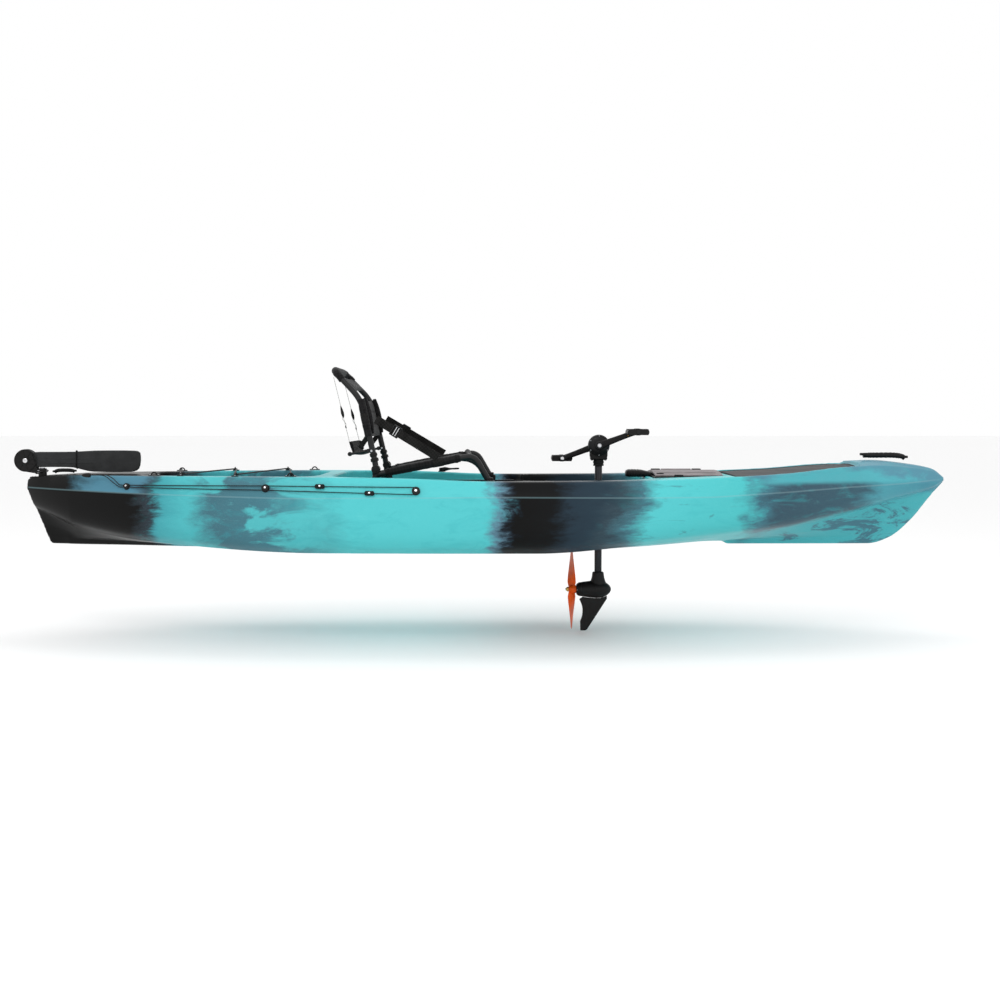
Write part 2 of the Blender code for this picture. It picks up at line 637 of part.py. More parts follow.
def make_lower_unit():
    """Streamlined pod on a collar, hollow for the lower gears, with a cap behind it and a skeg below."""
    nose = [(0, 0.509)] + [(r, x) for x, r in reversed(POD_RADIUS)] + [(0, 0.3855)]
    centre = (0, 0, POD_Z)
    pod = turned("lower_unit", nose, "X", centre, plastic(), 20)
    fuse(pod, turned("lower_collar", ((0, -0.16), (0.027, -0.16), (0.0245, -0.125), (0.0235, -0.1005),
                                      (0, -0.1005)), "Z", (CRANK_X, 0, 0), plastic(), 24))
    cut(pod, rod("lower_gear_room", (CRANK_X, 0, -0.183), (CRANK_X, 0, -0.152), 0.0205, plastic(), 24),
        rod("lower_pinion_room", (0.37, 0, POD_Z), (0.446, 0, POD_Z), 0.0100, plastic()),
        rod("lower_shaft_bore", (CRANK_X, 0, -0.16), (CRANK_X, 0, -0.09), 0.0078, plastic()),
        rod("lower_column_seat", (CRANK_X, 0, -0.1210), (CRANK_X, 0, -0.09), 0.0153, plastic(), 20))
    turned("lower_unit_cap", ((0.0055, 0.3665), (0.021, 0.3665), (0.0285, 0.378), (0.0285, 0.3852),
                              (0.0055, 0.3852)), "X", centre, plastic(), 24)
    top = [(x, POD_Z - along(POD_RADIUS, x) - 0.0012) for x in (0.392, 0.415, 0.44, 0.462, 0.480, 0.492)]
    rear = arc((0.300, -0.262), 0.092, -27, 32, 6)
    outline = [(0.4035, -0.343), (0.383, -0.343), *rear, (0.388, -0.2062), *top, (0.492, -0.212),
               (0.474, -0.240), (0.411, -0.338)]
    skeg = plate("skeg", outline, -0.0045, 0.0045, plastic())
    edge = skeg.modifiers.new("bevel", "BEVEL")
    edge.width = 0.002
    edge.segments = 1


def make_cranks():
    """Axle with its face gear, two arms half a turn apart, and the pedals on their spindles."""
    rod("crank_axle", (CRANK_X, -0.062, CRANK_Z), (CRANK_X, 0.062, CRANK_Z), 0.0085, steel())
    half_tooth = pi / BEVEL_TEETH
    crown_teeth("crank_gear", BEVEL_TEETH, 0.0265, 0.0335, 0.0115, 0.0052, 0.0075, "Y",
                (CRANK_X, 0, CRANK_Z), steel(), pi / 2 + half_tooth, 0.0088)
    for side, word, turn in ((-1, "starboard", CRANK_ANGLE), (1, "port", CRANK_ANGLE + pi)):
        way = Vector((cos(turn), 0, sin(turn)))
        across = Vector((-sin(turn), 0, cos(turn)))
        hub = Vector((CRANK_X, side * 0.050, CRANK_Z))
        tip = hub + way * CRANK_LENGTH + Vector((0, side * 0.018, 0))
        rings = []
        for t, half, thick in ((0.0, 0.0135, 0.0085), (0.10, 0.0165, 0.0085), (0.22, 0.0150, 0.0080),
                               (0.5, 0.0125, 0.0070), (0.85, 0.0115, 0.0065), (0.95, 0.0125, 0.0065),
                               (1.0, 0.0095, 0.006)):
            reach = -0.010 + (CRANK_LENGTH + 0.020) * t
            sway = 0.018 * min(1.0, max(0.0, (t - 0.15) / 0.6))
            middle = hub + way * reach + Vector((0, side * sway, 0))
            corners = ((-half, -thick), (half, -thick), (half, thick), (-half, thick))
            rings.append([middle + across * a + Vector((0, b, 0)) for a, b in corners])
        arm = loft(f"crank_arm_{word}", rings, plastic())
        cut(arm, rod(f"arm_axle_bore_{word}", (CRANK_X, side * 0.02, CRANK_Z),
                     (CRANK_X, side * 0.0625, CRANK_Z), 0.0088, plastic()))
        cut(arm, rod(f"arm_spindle_bore_{word}", tip - Vector((0, 0.03, 0)), tip + Vector((0, 0.03, 0)),
                     0.0048, plastic()))
        make_pedal(word, side, tip)


def make_pedal(word, side, eye):
    """Pedal platform that turns freely on a spindle."""
    near, far = eye.y + side * 0.0115, side * (PEDAL_Y + 0.046)
    spindle = rod(f"pedal_spindle_{word}", (eye.x, eye.y - side * 0.0062, eye.z),
                  (eye.x, far - side * 0.004, eye.z), 0.0045, steel(), 12)
    fuse(spindle, rod(f"spindle_flange_{word}", (eye.x, eye.y + side * 0.0070, eye.z),
                      (eye.x, eye.y + side * 0.0105, eye.z), 0.0085, steel(), 12))
    low, high = sorted((near, far))
    outline = [(-0.043, -0.004), (-0.036, -0.0115), (0.036, -0.0115), (0.043, -0.004), (0.041, 0.008),
               (0.030, 0.0125), (-0.030, 0.0125), (-0.041, 0.008)]
    pedal = plate(f"pedal_{word}", [(eye.x + a, eye.z + b) for a, b in outline], low, high, plastic())
    cut(pedal, rod(f"pedal_bore_{word}", (eye.x, -0.3, eye.z), (eye.x, 0.3, eye.z), 0.0052, plastic(), 12))
    for end in (-1, 1):
        cut(pedal, block(f"pedal_window_{word}_{end}",
                         (eye.x + min(end * 0.011, end * 0.031), low + 0.014, eye.z - 0.05),
                         (eye.x + max(end * 0.011, end * 0.031), high - 0.014, eye.z + 0.05), plastic()))


def make_drive_shaft():
    """Vertical shaft with the small pinion at its top and the face gear at its foot."""
    shaft = turned("drive_shaft", ((0, -0.1600), (0.006, -0.1600), (0.006, 0.3790), (0.0030, 0.3795),
                                   (0.0030, 0.3930), (0, 0.3930)), "Z", (CRANK_X, 0, 0), steel(), 12,
                   FACET_TURN)
    points = [(CRANK_X - b, a) for a, b in star(PINION_TEETH, 0.0040, 0.0066)]
    pinion = plate("shaft_pinion", points, 0.3835, 0.3920, steel(), "XY")
    half_tooth = pi / LOWER_TEETH
    crown = crown_teeth("shaft_crown", LOWER_TEETH, 0.0125, 0.0190, -0.1575, -0.1648, -0.1625, "Z",
                        (CRANK_X, 0, 0), steel(), pi + half_tooth, 0.0035)
    fuse(shaft, pinion, crown)


def blade_rings(turn):
    """Sections of one propeller blade, from the hub to the tip, as an aerofoil twisted to its pitch."""
    rings = []
    for i in range(9):
        t = i / 8
        r = 0.010 + (PROP_R - 0.0005 - 0.010) * t
        chord = 0.020 + 0.036 * sin(pi * min(1.0, t * 0.92 + 0.08)) ** 0.8 * (1 - 0.25 * t)
        if i == 8:
            chord = 0.010
        thick = 0.0055 * (1 - 0.72 * t)
        pitch = atan2(PROP_PITCH, 2 * pi * max(r, 0.028))
        ring = []
        for a, b in ((-0.5, 0.0), (-0.2, 0.42), (0.15, 0.5), (0.5, 0.06), (0.5, -0.06), (0.15, -0.30),
                     (-0.2, -0.25)):
            along_chord, lift = a * chord, b * thick
            x = along_chord * sin(pitch) + lift * cos(pitch)
            y = -along_chord * cos(pitch) + lift * sin(pitch)
            point = Matrix.Rotation(turn, 3, "X") @ Vector((x, y, r))
            ring.append(point + Vector((PROP_X, 0, POD_Z)))
        rings.append(ring)
    return rings


def make_propeller():
    """Shaft with its pinion, the two-blade propeller and the nut behind it."""
    shaft = rod("propeller_shaft", (0.3215, 0, POD_Z), (0.4445, 0, POD_Z), 0.005, steel(), 12)
    points = [(a, POD_Z + b) for a, b in
              [(x * cos(pi / 2) - y * sin(pi / 2), x * sin(pi / 2) + y * cos(pi / 2))
               for x, y in star(PROP_PINION_TEETH, 0.0060, 0.0086)]]
    fuse(shaft, plate("propeller_pinion", points, 0.4345, 0.4435, steel(), "YZ"))
    orange = material("orange_plastic", (0.62, 0.055, 0.008), 0.35)
    hub = turned("propeller", ((0.0053, 0.3345), (0.012, 0.3345), (0.0155, 0.340), (0.016, 0.3660),
                               (0.0053, 0.3660)), "X", (0, 0, POD_Z), orange, 20)
    for i in range(2):
        blade = loft(f"propeller_blade_{i}", blade_rings(pi * i), orange)
        cut(blade, rod(f"blade_bore_{i}", (0.30, 0, POD_Z), (0.40, 0, POD_Z), 0.0085, orange))
        fuse(hub, blade)
    brass = material("brass", (0.7, 0.5, 0.2), 0.3, 1.0)
    turned("propeller_nut", ((0.0053, 0.3235), (0.0085, 0.3235), (0.0095, 0.3260), (0.0095, 0.3342),
                             (0.0053, 0.3342)), "X", (0, 0, POD_Z), brass, 20)


# ---------------------------------------------------------------- rudder

def make_rudder_mount():
    """Bracket on the stern, the pin through it and the fork that steers on the pin."""
    floor = STERN_PAD[2] + GAP
    bracket = block("rudder_bracket", (-1.860, -0.026, floor), (-1.786, 0.026, 0.2905), alloy(), 0.001)
    cut(bracket, rod("bracket_bore", (STEER_X, 0, 0.2835), (STEER_X, 0, 0.3), 0.0063, alloy(), 16))
    turned("rudder_pintle", ((0, 0.2845), (0.006, 0.2845), (0.006, 0.3241), (0.0105, 0.3241),
                             (0.0105, 0.3272), (0, 0.3272)), "Z", (STEER_X, 0, 0), steel(), 16)
    px, pz = PIVOT
    yoke = rod("rudder_yoke", (STEER_X, 0, 0.2909), (STEER_X, 0, 0.3237), 0.0165, plastic(), 20)
    cheek = arc((px, pz), 0.046, 60, 272, 14) + [(STEER_X - 0.006, 0.3010), (STEER_X + 0.006, 0.3010),
                                                (STEER_X + 0.006, 0.3237), (STEER_X - 0.018, 0.3237)]
    for side in (-1, 1):
        low, high = sorted((side * 0.0093, side * 0.0153))
        fuse(yoke, plate(f"yoke_cheek_{side}", cheek, low, high, plastic()))
    fuse(yoke, block("yoke_web", (-1.842, -0.0100, 0.3010), (STEER_X, 0.0100, 0.3237), plastic()),
         block("yoke_arm", (STEER_X - 0.009, -0.056, 0.3085), (STEER_X + 0.009, 0.056, 0.3165),
               plastic(), 0.002))
    cut(yoke, rod("yoke_bore", (STEER_X, 0, 0.28), (STEER_X, 0, 0.33), 0.0066, plastic()),
        rod("yoke_pivot_bore", (px, -0.05, pz), (px, 0.05, pz), 0.0053, plastic(), 12))
    bolt = rod("rudder_pivot_bolt", (px, -0.0190, pz), (px, 0.0190, pz), 0.005, steel(), 12)
    for side in (-1, 1):
        fuse(bolt, rod(f"pivot_head_{side}", (px, side * 0.0156, pz), (px, side * 0.0200, pz), 0.0095,
                       steel(), 12))


def make_rudder_blade():
    """Blade stowed forwards over the deck, with its round root in the fork."""
    px, pz = PIVOT
    outline = [(0.034, -0.030), (0.055, -0.0270), (0.130, -0.0270), (0.190, -0.0285), (0.235, -0.040),
               (0.275, -0.0465), (0.330, -0.0475), (0.425, -0.0468), (0.449, -0.0430), (0.461, -0.030),
               (0.4670, 0.000), (0.4665, 0.030), (0.455, 0.0385), (0.400, 0.0410), (0.280, 0.0405),
               (0.200, 0.0360), (0.120, 0.0350), (0.055, 0.0350), (0.030, 0.0330)]
    blade = plate("rudder_blade", [(px + a, pz + b) for a, b in outline], -0.006, 0.006,
                  material("charcoal_plastic", (0.035, 0.037, 0.037), 0.55))
    edge = blade.modifiers.new("bevel", "BEVEL")
    edge.width = 0.002
    edge.segments = 1
    fuse(blade, rod("blade_root", (px, -0.0085, pz), (px, 0.0085, pz), 0.0445, blade.data.materials[0], 28))
    cut(blade, rod("blade_bore", (px, -0.05, pz), (px, 0.05, pz), 0.0054, blade.data.materials[0], 12))


def side_surface(x, z):
    """Point on the starboard side between the ridge and the gunwale."""
    share = max(0.0, min(1.0, (z - along(RIDGE, x)) / (deck_height(x) - 0.010 - along(RIDGE, x))))
    return Vector((x, -(half_beam(x) - 0.029 * share), z))


def side_frame(x, z):
    """Surface point with its outward normal, the way along the hull and the way up the panel."""
    here = side_surface(x, z)
    ahead = (side_surface(x + 0.01, z) - side_surface(x - 0.01, z)).normalized()
    rise = (side_surface(x, z + 0.003) - side_surface(x, z - 0.003)).normalized()
    out = rise.cross(ahead).normalized()
    if out.y > 0:
        out.negate()
    return here, out, ahead, ahead.cross(out) * (1 if ahead.cross(out).z > 0 else -1)


def side_point(x, z, standoff):
    here, out, _, _ = side_frame(x, z)
    return here + out * standoff


def line_heights(x):
    """Heights of the upper and lower rudder lines at x."""
    if x < GUIDE_MID_X:
        share = (x - GUIDE_AFT_X) / (GUIDE_MID_X - GUIDE_AFT_X)
        return 0.2650 + 0.0035 * share, 0.2570 - 0.0045 * share
    share = (x - GUIDE_MID_X) / (PULLEY[0] - GUIDE_MID_X)
    return (0.2685 + (PULLEY[1] + PULLEY_R - 0.2685) * share,
            0.2525 + (PULLEY[1] - PULLEY_R - 0.2525) * share)


def make_rudder_line():
    """One loop of line from the stern, round the forward pulley and back."""
    first = GUIDE_AFT_X - 0.03
    xs = [first + (PULLEY[0] - 0.012 - first) * i / 18 for i in range(19)]
    upper = [side_point(x, line_heights(x)[0], LINE_STANDOFF) for x in xs]
    lower = [side_point(x, line_heights(x)[1], LINE_STANDOFF) for x in xs]
    here, out, ahead, up = side_frame(*PULLEY)
    centre = here + out * LINE_STANDOFF
    bend = [centre + PULLEY_R * (ahead * sin(pi * t / 8) + up * cos(pi * t / 8)) for t in range(9)]
    y = upper[0].y
    deck = deck_height(-1.52) + LINE_R + GAP
    start = [(-1.560, y + 0.040, deck), (-1.525, y + 0.036, deck), (-1.495, y + 0.030, deck + 0.001),
             (-1.462, y + 0.012, deck - 0.012)]
    end = [(-1.462, y + 0.004, deck - 0.0250), (-1.490, y + 0.020, deck - 0.006),
           (-1.515, y + 0.028, deck), (-1.560, y + 0.030, deck)]
    cord("rudder_line", start + upper + bend + list(reversed(lower)) + end, LINE_R,
         material("black_cord", BLACK, 0.8))


def make_line_guides():
    """Two guides that hold the lines off the hull, and the pulley where they turn back."""
    for word, x, radius in (("aft", GUIDE_AFT_X, 0.0125), ("mid", GUIDE_MID_X, 0.0150)):
        heights = line_heights(x)
        here, out, ahead, _ = side_frame(x, 0.5 * sum(heights))
        guide = rod(f"line_guide_{word}", here + out * 0.0012, here + out * 0.0130, radius, plastic(), 18)
        for line_z in heights:
            middle = side_point(x, line_z, LINE_STANDOFF)
            cut(guide, rod(f"guide_bore_{word}_{line_z:.4f}", middle - ahead * 0.04, middle + ahead * 0.04,
                           0.0032, plastic(), 10))
    here, out, _, _ = side_frame(*PULLEY)
    turned("line_pulley", ((0, -0.0058), (0.0155, -0.0058), (0.0155, -0.0046), (0.0108, -0.0026),
                           (0.0108, 0.0026), (0.0155, 0.0046), (0.0155, 0.0062), (0, 0.0062)),
           out, here + out * LINE_STANDOFF, plastic(), 22)


def toggle_path(which):
    """First and last point of a toggle's travel along its line."""
    first, last = (-0.63, -0.50) if which == 0 else (-0.44, -0.57)
    return tuple(Vector(side_point(x, line_heights(x)[which], LINE_STANDOFF)) for x in (first, last))


def make_toggles():
    for which, name in enumerate(("raise_toggle", "lower_toggle")):
        first, last = toggle_path(which)
        way = (last - first).normalized()
        middle_x = 0.5 * (first.x + last.x)
        out = side_frame(middle_x, line_heights(middle_x)[which])[1]
        out = (out - way * out.dot(way)).normalized()
        up = way.cross(out)
        rings = []
        for reach, size in ((-0.018, 0.6), (-0.013, 0.95), (0.0, 1.0), (0.013, 0.95), (0.018, 0.6)):
            ring = [(-0.0052, -0.0085), (0.004, -0.0095), (0.0070, -0.0055), (0.0070, 0.0055),
                    (0.004, 0.0095), (-0.0052, 0.0085)]
            rings.append([first + way * reach + out * a * (1 if a < 0 else size) + up * b * size
                          for a, b in ring])
        toggle = loft(name, rings, plastic())
        cut(toggle, rod(f"{name}_bore", first - way * 0.05, first + way * 0.05, 0.0036, plastic(), 10))


def make_steering_lever():
    """Small lever on the port gunwale that steers the rudder."""
    x, y = -0.20, half_beam(-0.20) - 0.060
    z = deck_height(x - 0.02) + 0.0005
    turned("steering_lever_base", ((0, 0), (0.0155, 0), (0.0145, 0.004), (0.0045, 0.004), (0.0045, 0.0135),
                                   (0, 0.0135)), "Z", (x, y, z), plastic(), 20)
    lever = turned("steering_lever", ((0.0048, 0.0043), (0.0125, 0.0043), (0.0125, 0.0125), (0.0048, 0.0125)),
                   "Z", (x, y, z), plastic(), 20)
    fuse(lever, rod("lever_rod", (x + 0.009, y, z + 0.0085), (x + 0.062, y, z + 0.0125), 0.0036,
                    plastic(), 10),
         turned("lever_knob", [(0, -0.012)] + [(0.0095 * cos(t), 0.012 * sin(t)) for t in
                               (radians(a) for a in range(-70, 71, 20))] + [(0, 0.012)],
                "X", (x + 0.070, y, z + 0.0128), plastic(), 14))


# ---------------------------------------------------------------- seat

def make_seat_base():
    """Two bent side tubes with feet, joined by two cross tubes."""
    hinge_x, hinge_z = HINGE
    parts = []
    for side in (1, -1):
        y = side * SEAT_HALF
        (rear_x, rear_z), (front_x, front_z) = SEAT_REAR, SEAT_FRONT
        path = bent([(rear_x, y, 0.283), (rear_x, y, rear_z), (front_x, y, front_z),
                     (0.010, y, 0.283)], 0.035)
        name = "seat_base_frame" if side > 0 else "seat_side_starboard"
        parts.append(sweep(name, path, SEAT_TUBE_R, alloy(), 8))
    frame, other = parts
    tools = [other]
    for i, (x, z) in enumerate(((SEAT_REAR[0], 0.3000), (-0.078, 0.3775))):
        tools.append(rod(f"seat_cross_{i}", (x, -SEAT_HALF, z), (x, SEAT_HALF, z), 0.010, alloy(), 10))
    for side in (1, -1):
        y = side * SEAT_HALF
        low_y, high_y = sorted((y - side * 0.006, y + side * 0.028))
        for word, foot_x in (("front", -0.014), ("rear", -0.456)):
            tools.append(block(f"seat_foot_{word}_{side}", (foot_x, low_y, RAIL_Z[1] + GAP),
                               (foot_x + 0.048, high_y, 0.287), plastic(), 0.002))
        tools.append(block(f"seat_hinge_lug_{side}", (hinge_x - 0.015, y - 0.006, rear_z - 0.002),
                           (hinge_x + 0.015, y + 0.006, hinge_z + 0.014), alloy(), 0.002))
        tools.append(rod(f"seat_hinge_stub_{side}", (hinge_x, side * 0.2225, hinge_z), (hinge_x, y, hinge_z),
                         0.0045, steel(), 10))
    fuse(frame, *tools)
    for side, word in ((1, "port"), (-1, "starboard")):
        y = side * (SEAT_HALF + 0.0283)
        knob = turned(f"rail_knob_{word}", ((0, 0.0003), (0.0050, 0.0003), (0.0050, 0.006), (0.0135, 0.006),
                                            (0.0145, 0.0095), (0.0125, 0.0185), (0, 0.0185)),
                      "Y", (0.010, 0, 0.2755), plastic(), 10)
        knob.location.y = y
        if side < 0:
            knob.rotation_euler.x = pi
            knob.location = (0, y, 2 * 0.2755)


def seat_line(x):
    """Height of the side tube's centre along the seat."""
    (rear_x, rear_z), (front_x, front_z) = SEAT_REAR, SEAT_FRONT
    return rear_z + (front_z - rear_z) * (x - rear_x) / (front_x - rear_x)


def panel(name, stations, thickness, finish, across=6):
    """Thin sagging panel: stations are (x, z, half width, sag, thickness direction)."""
    rings = []
    for x, z, half, sag, lean in stations:
        front, back = [], []
        for k in range(across + 1):
            y = -half + 2 * half * k / across
            drop = sag * (1 - (y / half) ** 2)
            normal = Vector((-sin(lean), 0, cos(lean)))
            point = Vector((x, y, z)) - normal * drop
            front.append(point)
            back.append(point - normal * thickness)
        rings.append(front + list(reversed(back)))
    return loft(name, rings, finish)


def make_seat_panels():
    lean = atan2(seat_line(0.0) - seat_line(-1.0), 1.0)
    rows = []
    for i in range(7):
        t = i / 6
        x = -0.380 + 0.290 * t
        rows.append((x, seat_line(x) + 0.004, 0.240, 0.018 * sin(pi * (0.1 + 0.8 * t)), lean))
    panel("seat_panel", rows, 0.006, cloth())


def back_path(side):
    hinge_x, hinge_z = HINGE
    return [(hinge_x, side * 0.2330, hinge_z - 0.012), (hinge_x - 0.006, side * 0.2325, hinge_z + 0.03),
            (-0.490, side * 0.214, 0.600), (-0.600, side * 0.172, 0.716)]


def make_seat_back():
    """Arch of bent tube with the back panel stretched between its posts."""
    ends = [back_path(1), back_path(-1)]
    path = bent([*ends[0], *reversed(ends[1])], 0.05)
    frame = sweep("seat_back_frame", path, BACK_TUBE_R, alloy(), 8)
    for side in (1, -1):
        cut(frame, rod(f"back_hinge_bore_{side}", (HINGE[0], side * 0.210, HINGE[1]),
                       (HINGE[0], side * 0.30, HINGE[1]), 0.0051, alloy(), 12))
    foot_z = 0.375
    lower = Vector((-0.4567, 0, 0.452))
    bend = Vector((-0.490, 0, 0.600))
    top = Vector((-0.578, 0, 0.693))
    rows = []
    for start, end, steps in ((lower, bend, 5), (bend, top, 3)):
        for i in range(steps + (end == top)):
            t = i / steps
            here = start.lerp(end, t)
            height = (here.z - foot_z) / (top.z - foot_z)
            half = 0.216 - 0.055 * height - (0.003 if height > 0.6 else 0.0)
            lean = atan2(end.z - start.z, end.x - start.x)
            rows.append((here.x, here.z, half - 0.006, 0.012 * sin(pi * height), lean + pi))
    cover = panel("seat_back_panel", rows, 0.006, cloth())
    cut(cover, block("back_window", (-0.62, -0.140, 0.606), (-0.40, 0.140, 0.644), cloth()))


def make_seat_straps():
    """Flat side straps from the back posts down to the side tubes."""
    for side, word in ((1, "port"), (-1, "starboard")):
        start = Vector((-0.428, side * 0.2345, 0.5227))
        end = Vector((-0.1835, side * 0.2765, 0.3788))
        run = (end - start).normalized()
        width = Vector((run.z, 0, -run.x)).normalized() * 0.0165
        rings = []
        for i in range(4):
            middle = start.lerp(end, i / 3)
            out = Vector((0, side * 0.0011, 0))
            rings.append([middle - width - out, middle + width - out, middle + width + out,
                          middle - width + out])
        loft(f"seat_strap_{word}", rings, material("black_webbing", BLACK, 0.85))


def make_gear_rack():
    """Small rack behind the back: a bent tube hinged on the posts, with its net."""
    y = 0.200
    hinge_x, hinge_z = RACK_HINGE
    path = bent([(hinge_x, y + 0.030, hinge_z), (hinge_x, y, hinge_z), (-0.540, y, 0.3870),
                 (-0.540, -y, 0.3870), (hinge_x, -y, hinge_z), (hinge_x, -y - 0.030, hinge_z)], 0.016)
    sweep("gear_rack_frame", path, 0.005, alloy(), 8)
    rings = []
    for x, z in ((-0.530, 0.3945), (-0.536, 0.412), (-0.541, 0.436)):
        rings.append([(x, -0.180, z), (x, 0.180, z), (x - 0.003, 0.180, z), (x - 0.003, -0.180, z)])
    loft("gear_rack_net", rings, cloth())


# ---------------------------------------------------------------- assembly

def clear_scene():
    for old in list(bpy.data.objects):
        bpy.data.objects.remove(old)


def main():
    clear_scene()
    make_hull()
    make_trunk_flange()
    make_drain_plug()
    make_seat_rails()
    make_handle("bow_handle", 1.535, 0.3775, 1.704, 0.3665, 0.378, 0.011)
    make_handle("stern_handle", -1.765, 0.3085, -1.685, 0.3110, 0.3165, 0.0075)
    make_deck_eyes()
    cord("rear_bungee", bungee_path(), 0.003, material("black_cord", BLACK, 0.8))
    make_bow_cover()
    make_console()
    make_console_lid()
    make_gearbox()
    make_column()
    make_lower_unit()
    make_cranks()
    make_drive_shaft()
    make_propeller()
    make_rudder_mount()
    make_rudder_blade()
    make_rudder_line()
    make_line_guides()
    make_toggles()
    make_steering_lever()
    make_seat_base()
    make_seat_panels()
    make_seat_back()
    make_seat_straps()
    make_gear_rack()


main()
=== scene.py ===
"""Looks of the pedal kayak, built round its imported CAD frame.

Metres. +X points to the bow, +Y to port, +Z up. Z = 0 is the flat bottom of the hull.
"""
from math import asin, atan2, cos, hypot, pi, radians, sin

import bmesh
import bpy
from mathutils import Matrix, Vector
from mathutils.bvhtree import BVHTree


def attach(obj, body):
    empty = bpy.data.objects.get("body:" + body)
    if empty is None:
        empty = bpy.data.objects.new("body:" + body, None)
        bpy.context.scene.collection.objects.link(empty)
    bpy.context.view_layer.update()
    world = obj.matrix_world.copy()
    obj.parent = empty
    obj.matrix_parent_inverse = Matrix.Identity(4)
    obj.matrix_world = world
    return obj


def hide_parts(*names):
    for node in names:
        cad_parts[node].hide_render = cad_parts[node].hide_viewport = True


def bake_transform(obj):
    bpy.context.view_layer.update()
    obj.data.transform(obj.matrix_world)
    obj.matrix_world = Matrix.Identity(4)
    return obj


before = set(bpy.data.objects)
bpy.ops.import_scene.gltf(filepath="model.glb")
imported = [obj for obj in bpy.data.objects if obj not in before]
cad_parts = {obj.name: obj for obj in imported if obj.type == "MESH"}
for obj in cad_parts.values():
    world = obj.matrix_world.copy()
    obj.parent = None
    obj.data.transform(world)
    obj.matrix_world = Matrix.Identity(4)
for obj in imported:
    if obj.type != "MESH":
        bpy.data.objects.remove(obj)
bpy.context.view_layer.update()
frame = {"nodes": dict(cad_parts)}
scene = bpy.context.scene

# ---------------------------------------------------------------- the part's own measures

HULL_END = 1.865
BEAM_END = 1.87
MAX_HALF_BEAM = 0.43
BOW_HALF_WIDTH = 0.008
STERN_HALF_WIDTH = 0.048
STERN_RAKE = 0.345
RAKE_FROM, RAKE_REACH, RAKE_BELOW = -1.66, 0.205, 0.25
KEEL = ((-1.865, 0.018), (-1.5, 0.012), (-1.1, 0.004), (-0.65, 0.0), (0.2, 0.0), (0.62, 0.012),
        (0.95, 0.03), (0.985, 0.017), (1.56, 0.018), (1.645, 0.044), (1.727, 0.11),
        (1.808, 0.208), (1.865, 0.272))
FIN_DEPTH = ((-1.865, 0.03), (-1.3, 0.015), (-0.8, 0.0), (0.95, 0.0), (0.985, 0.016), (1.3, 0.026),
             (1.6, 0.03), (1.75, 0.02), (1.865, 0.003))
BOTTOM_EDGE = ((-1.865, 0.165), (-1.65, 0.093), (-1.35, 0.043), (-0.65, 0.005), (0.2, 0.005),
               (0.6, 0.034), (0.83, 0.055), (1.17, 0.09), (1.38, 0.13), (1.6, 0.19),
               (1.81, 0.246), (1.865, 0.276))
RIDGE = ((-1.865, 0.248), (-1.4, 0.235), (-0.75, 0.222), (0.05, 0.228), (0.55, 0.225), (0.87, 0.226),
         (1.17, 0.242), (1.42, 0.257), (1.66, 0.266), (1.865, 0.28))
GUNWALE = ((-1.865, 0.283), (-1.8, 0.296), (-1.6, 0.303), (-0.75, 0.304), (-0.35, 0.3),
           (0.05, 0.287), (0.45, 0.289), (0.87, 0.3), (1.17, 0.315), (1.42, 0.338), (1.56, 0.343),
           (1.706, 0.332), (1.81, 0.316), (1.865, 0.284))
CROWN = ((-1.865, 0.0), (0.95, 0.0), (1.2, 0.006), (1.56, 0.016), (1.8, 0.01), (1.865, 0.003))
BOTTOM_SHARE = ((-1.865, 0.55), (-0.65, 0.72), (0.2, 0.72), (0.8, 0.62), (1.4, 0.5), (1.865, 0.5))
REAR_WELL = (-1.38, -0.66, 0.14, 0.085, 0.03)
LEDGE_WELL = (-0.605, 0.165, 0.255, 0.08, 0.004)
BOW_WELL = (0.99, 1.46, 0.2, 0.075, 0.02)
FOOT_WELL = (-0.52, 0.645, 0.075)
SEAT_FLOOR_HALF = 0.215
FOOT_FLOOR_HALF = 0.315
CONSOLE_SEAT = (0.66, 0.95, 0.282, 0.2)
HATCH = (0.7, 0.9, 0.155)
HUMP = (0.283, 0.562, 0.066, 0.2)
TRUNK = (0.305, 0.527, 0.046)
COVER_RECESS = (0.965, 1.48, 0.007)
COVER_MARGIN = 0.048
SCUPPERS = ((-1.15, 0.07), (-0.8, 0.15), (-0.45, 0.1), (0.15, 0.1))
SCUPPER_R = 0.012
DECK_LEVEL = 0.31
TOOL_TOP = 0.45

CAMERA_AT = (0.053, -5.5, 0.53)
CAMERA_LENS = 48.5
CAMERA_DOWN = 3.49
FLOOR_Z = -0.352
FLOOR_HALF = 60


# ---------------------------------------------------------------- small tools

def along(table, x):
    """Smooth value at x through a table of (x, value), without overshoot."""
    if x <= table[0][0]:
        return table[0][1]
    if x >= table[-1][0]:
        return table[-1][1]
    slopes = [(b[1] - a[1]) / (b[0] - a[0]) for a, b in zip(table, table[1:])]
    at = next(i for i in range(len(slopes)) if x <= table[i + 1][0])

    def tangent(i):
        if i == 0 or i == len(slopes):
            return slopes[min(i, len(slopes) - 1)]
        before, after = slopes[i - 1], slopes[i]
        return 0.0 if before * after <= 0 else 2 * before * after / (before + after)

    (x0, v0), (x1, v1) = table[at], table[at + 1]
    step = x1 - x0
    t = (x - x0) / step
    return (v0 * (1 + 2 * t) * (1 - t) ** 2 + step * tangent(at) * t * (1 - t) ** 2
            + v1 * t * t * (3 - 2 * t) + step * tangent(at + 1) * t * t * (t - 1))


def srgb(r, g, b):
    """Linear colour of an sRGB one given from 0 to 255."""
    def line(c):
        c /= 255
        return c / 12.92 if c <= 0.04045 else ((c + 0.055) / 1.055) ** 2.4
    return (line(r), line(g), line(b), 1.0)


def link(obj):
    """Put an object in the scene."""
    scene.collection.objects.link(obj)
    return obj


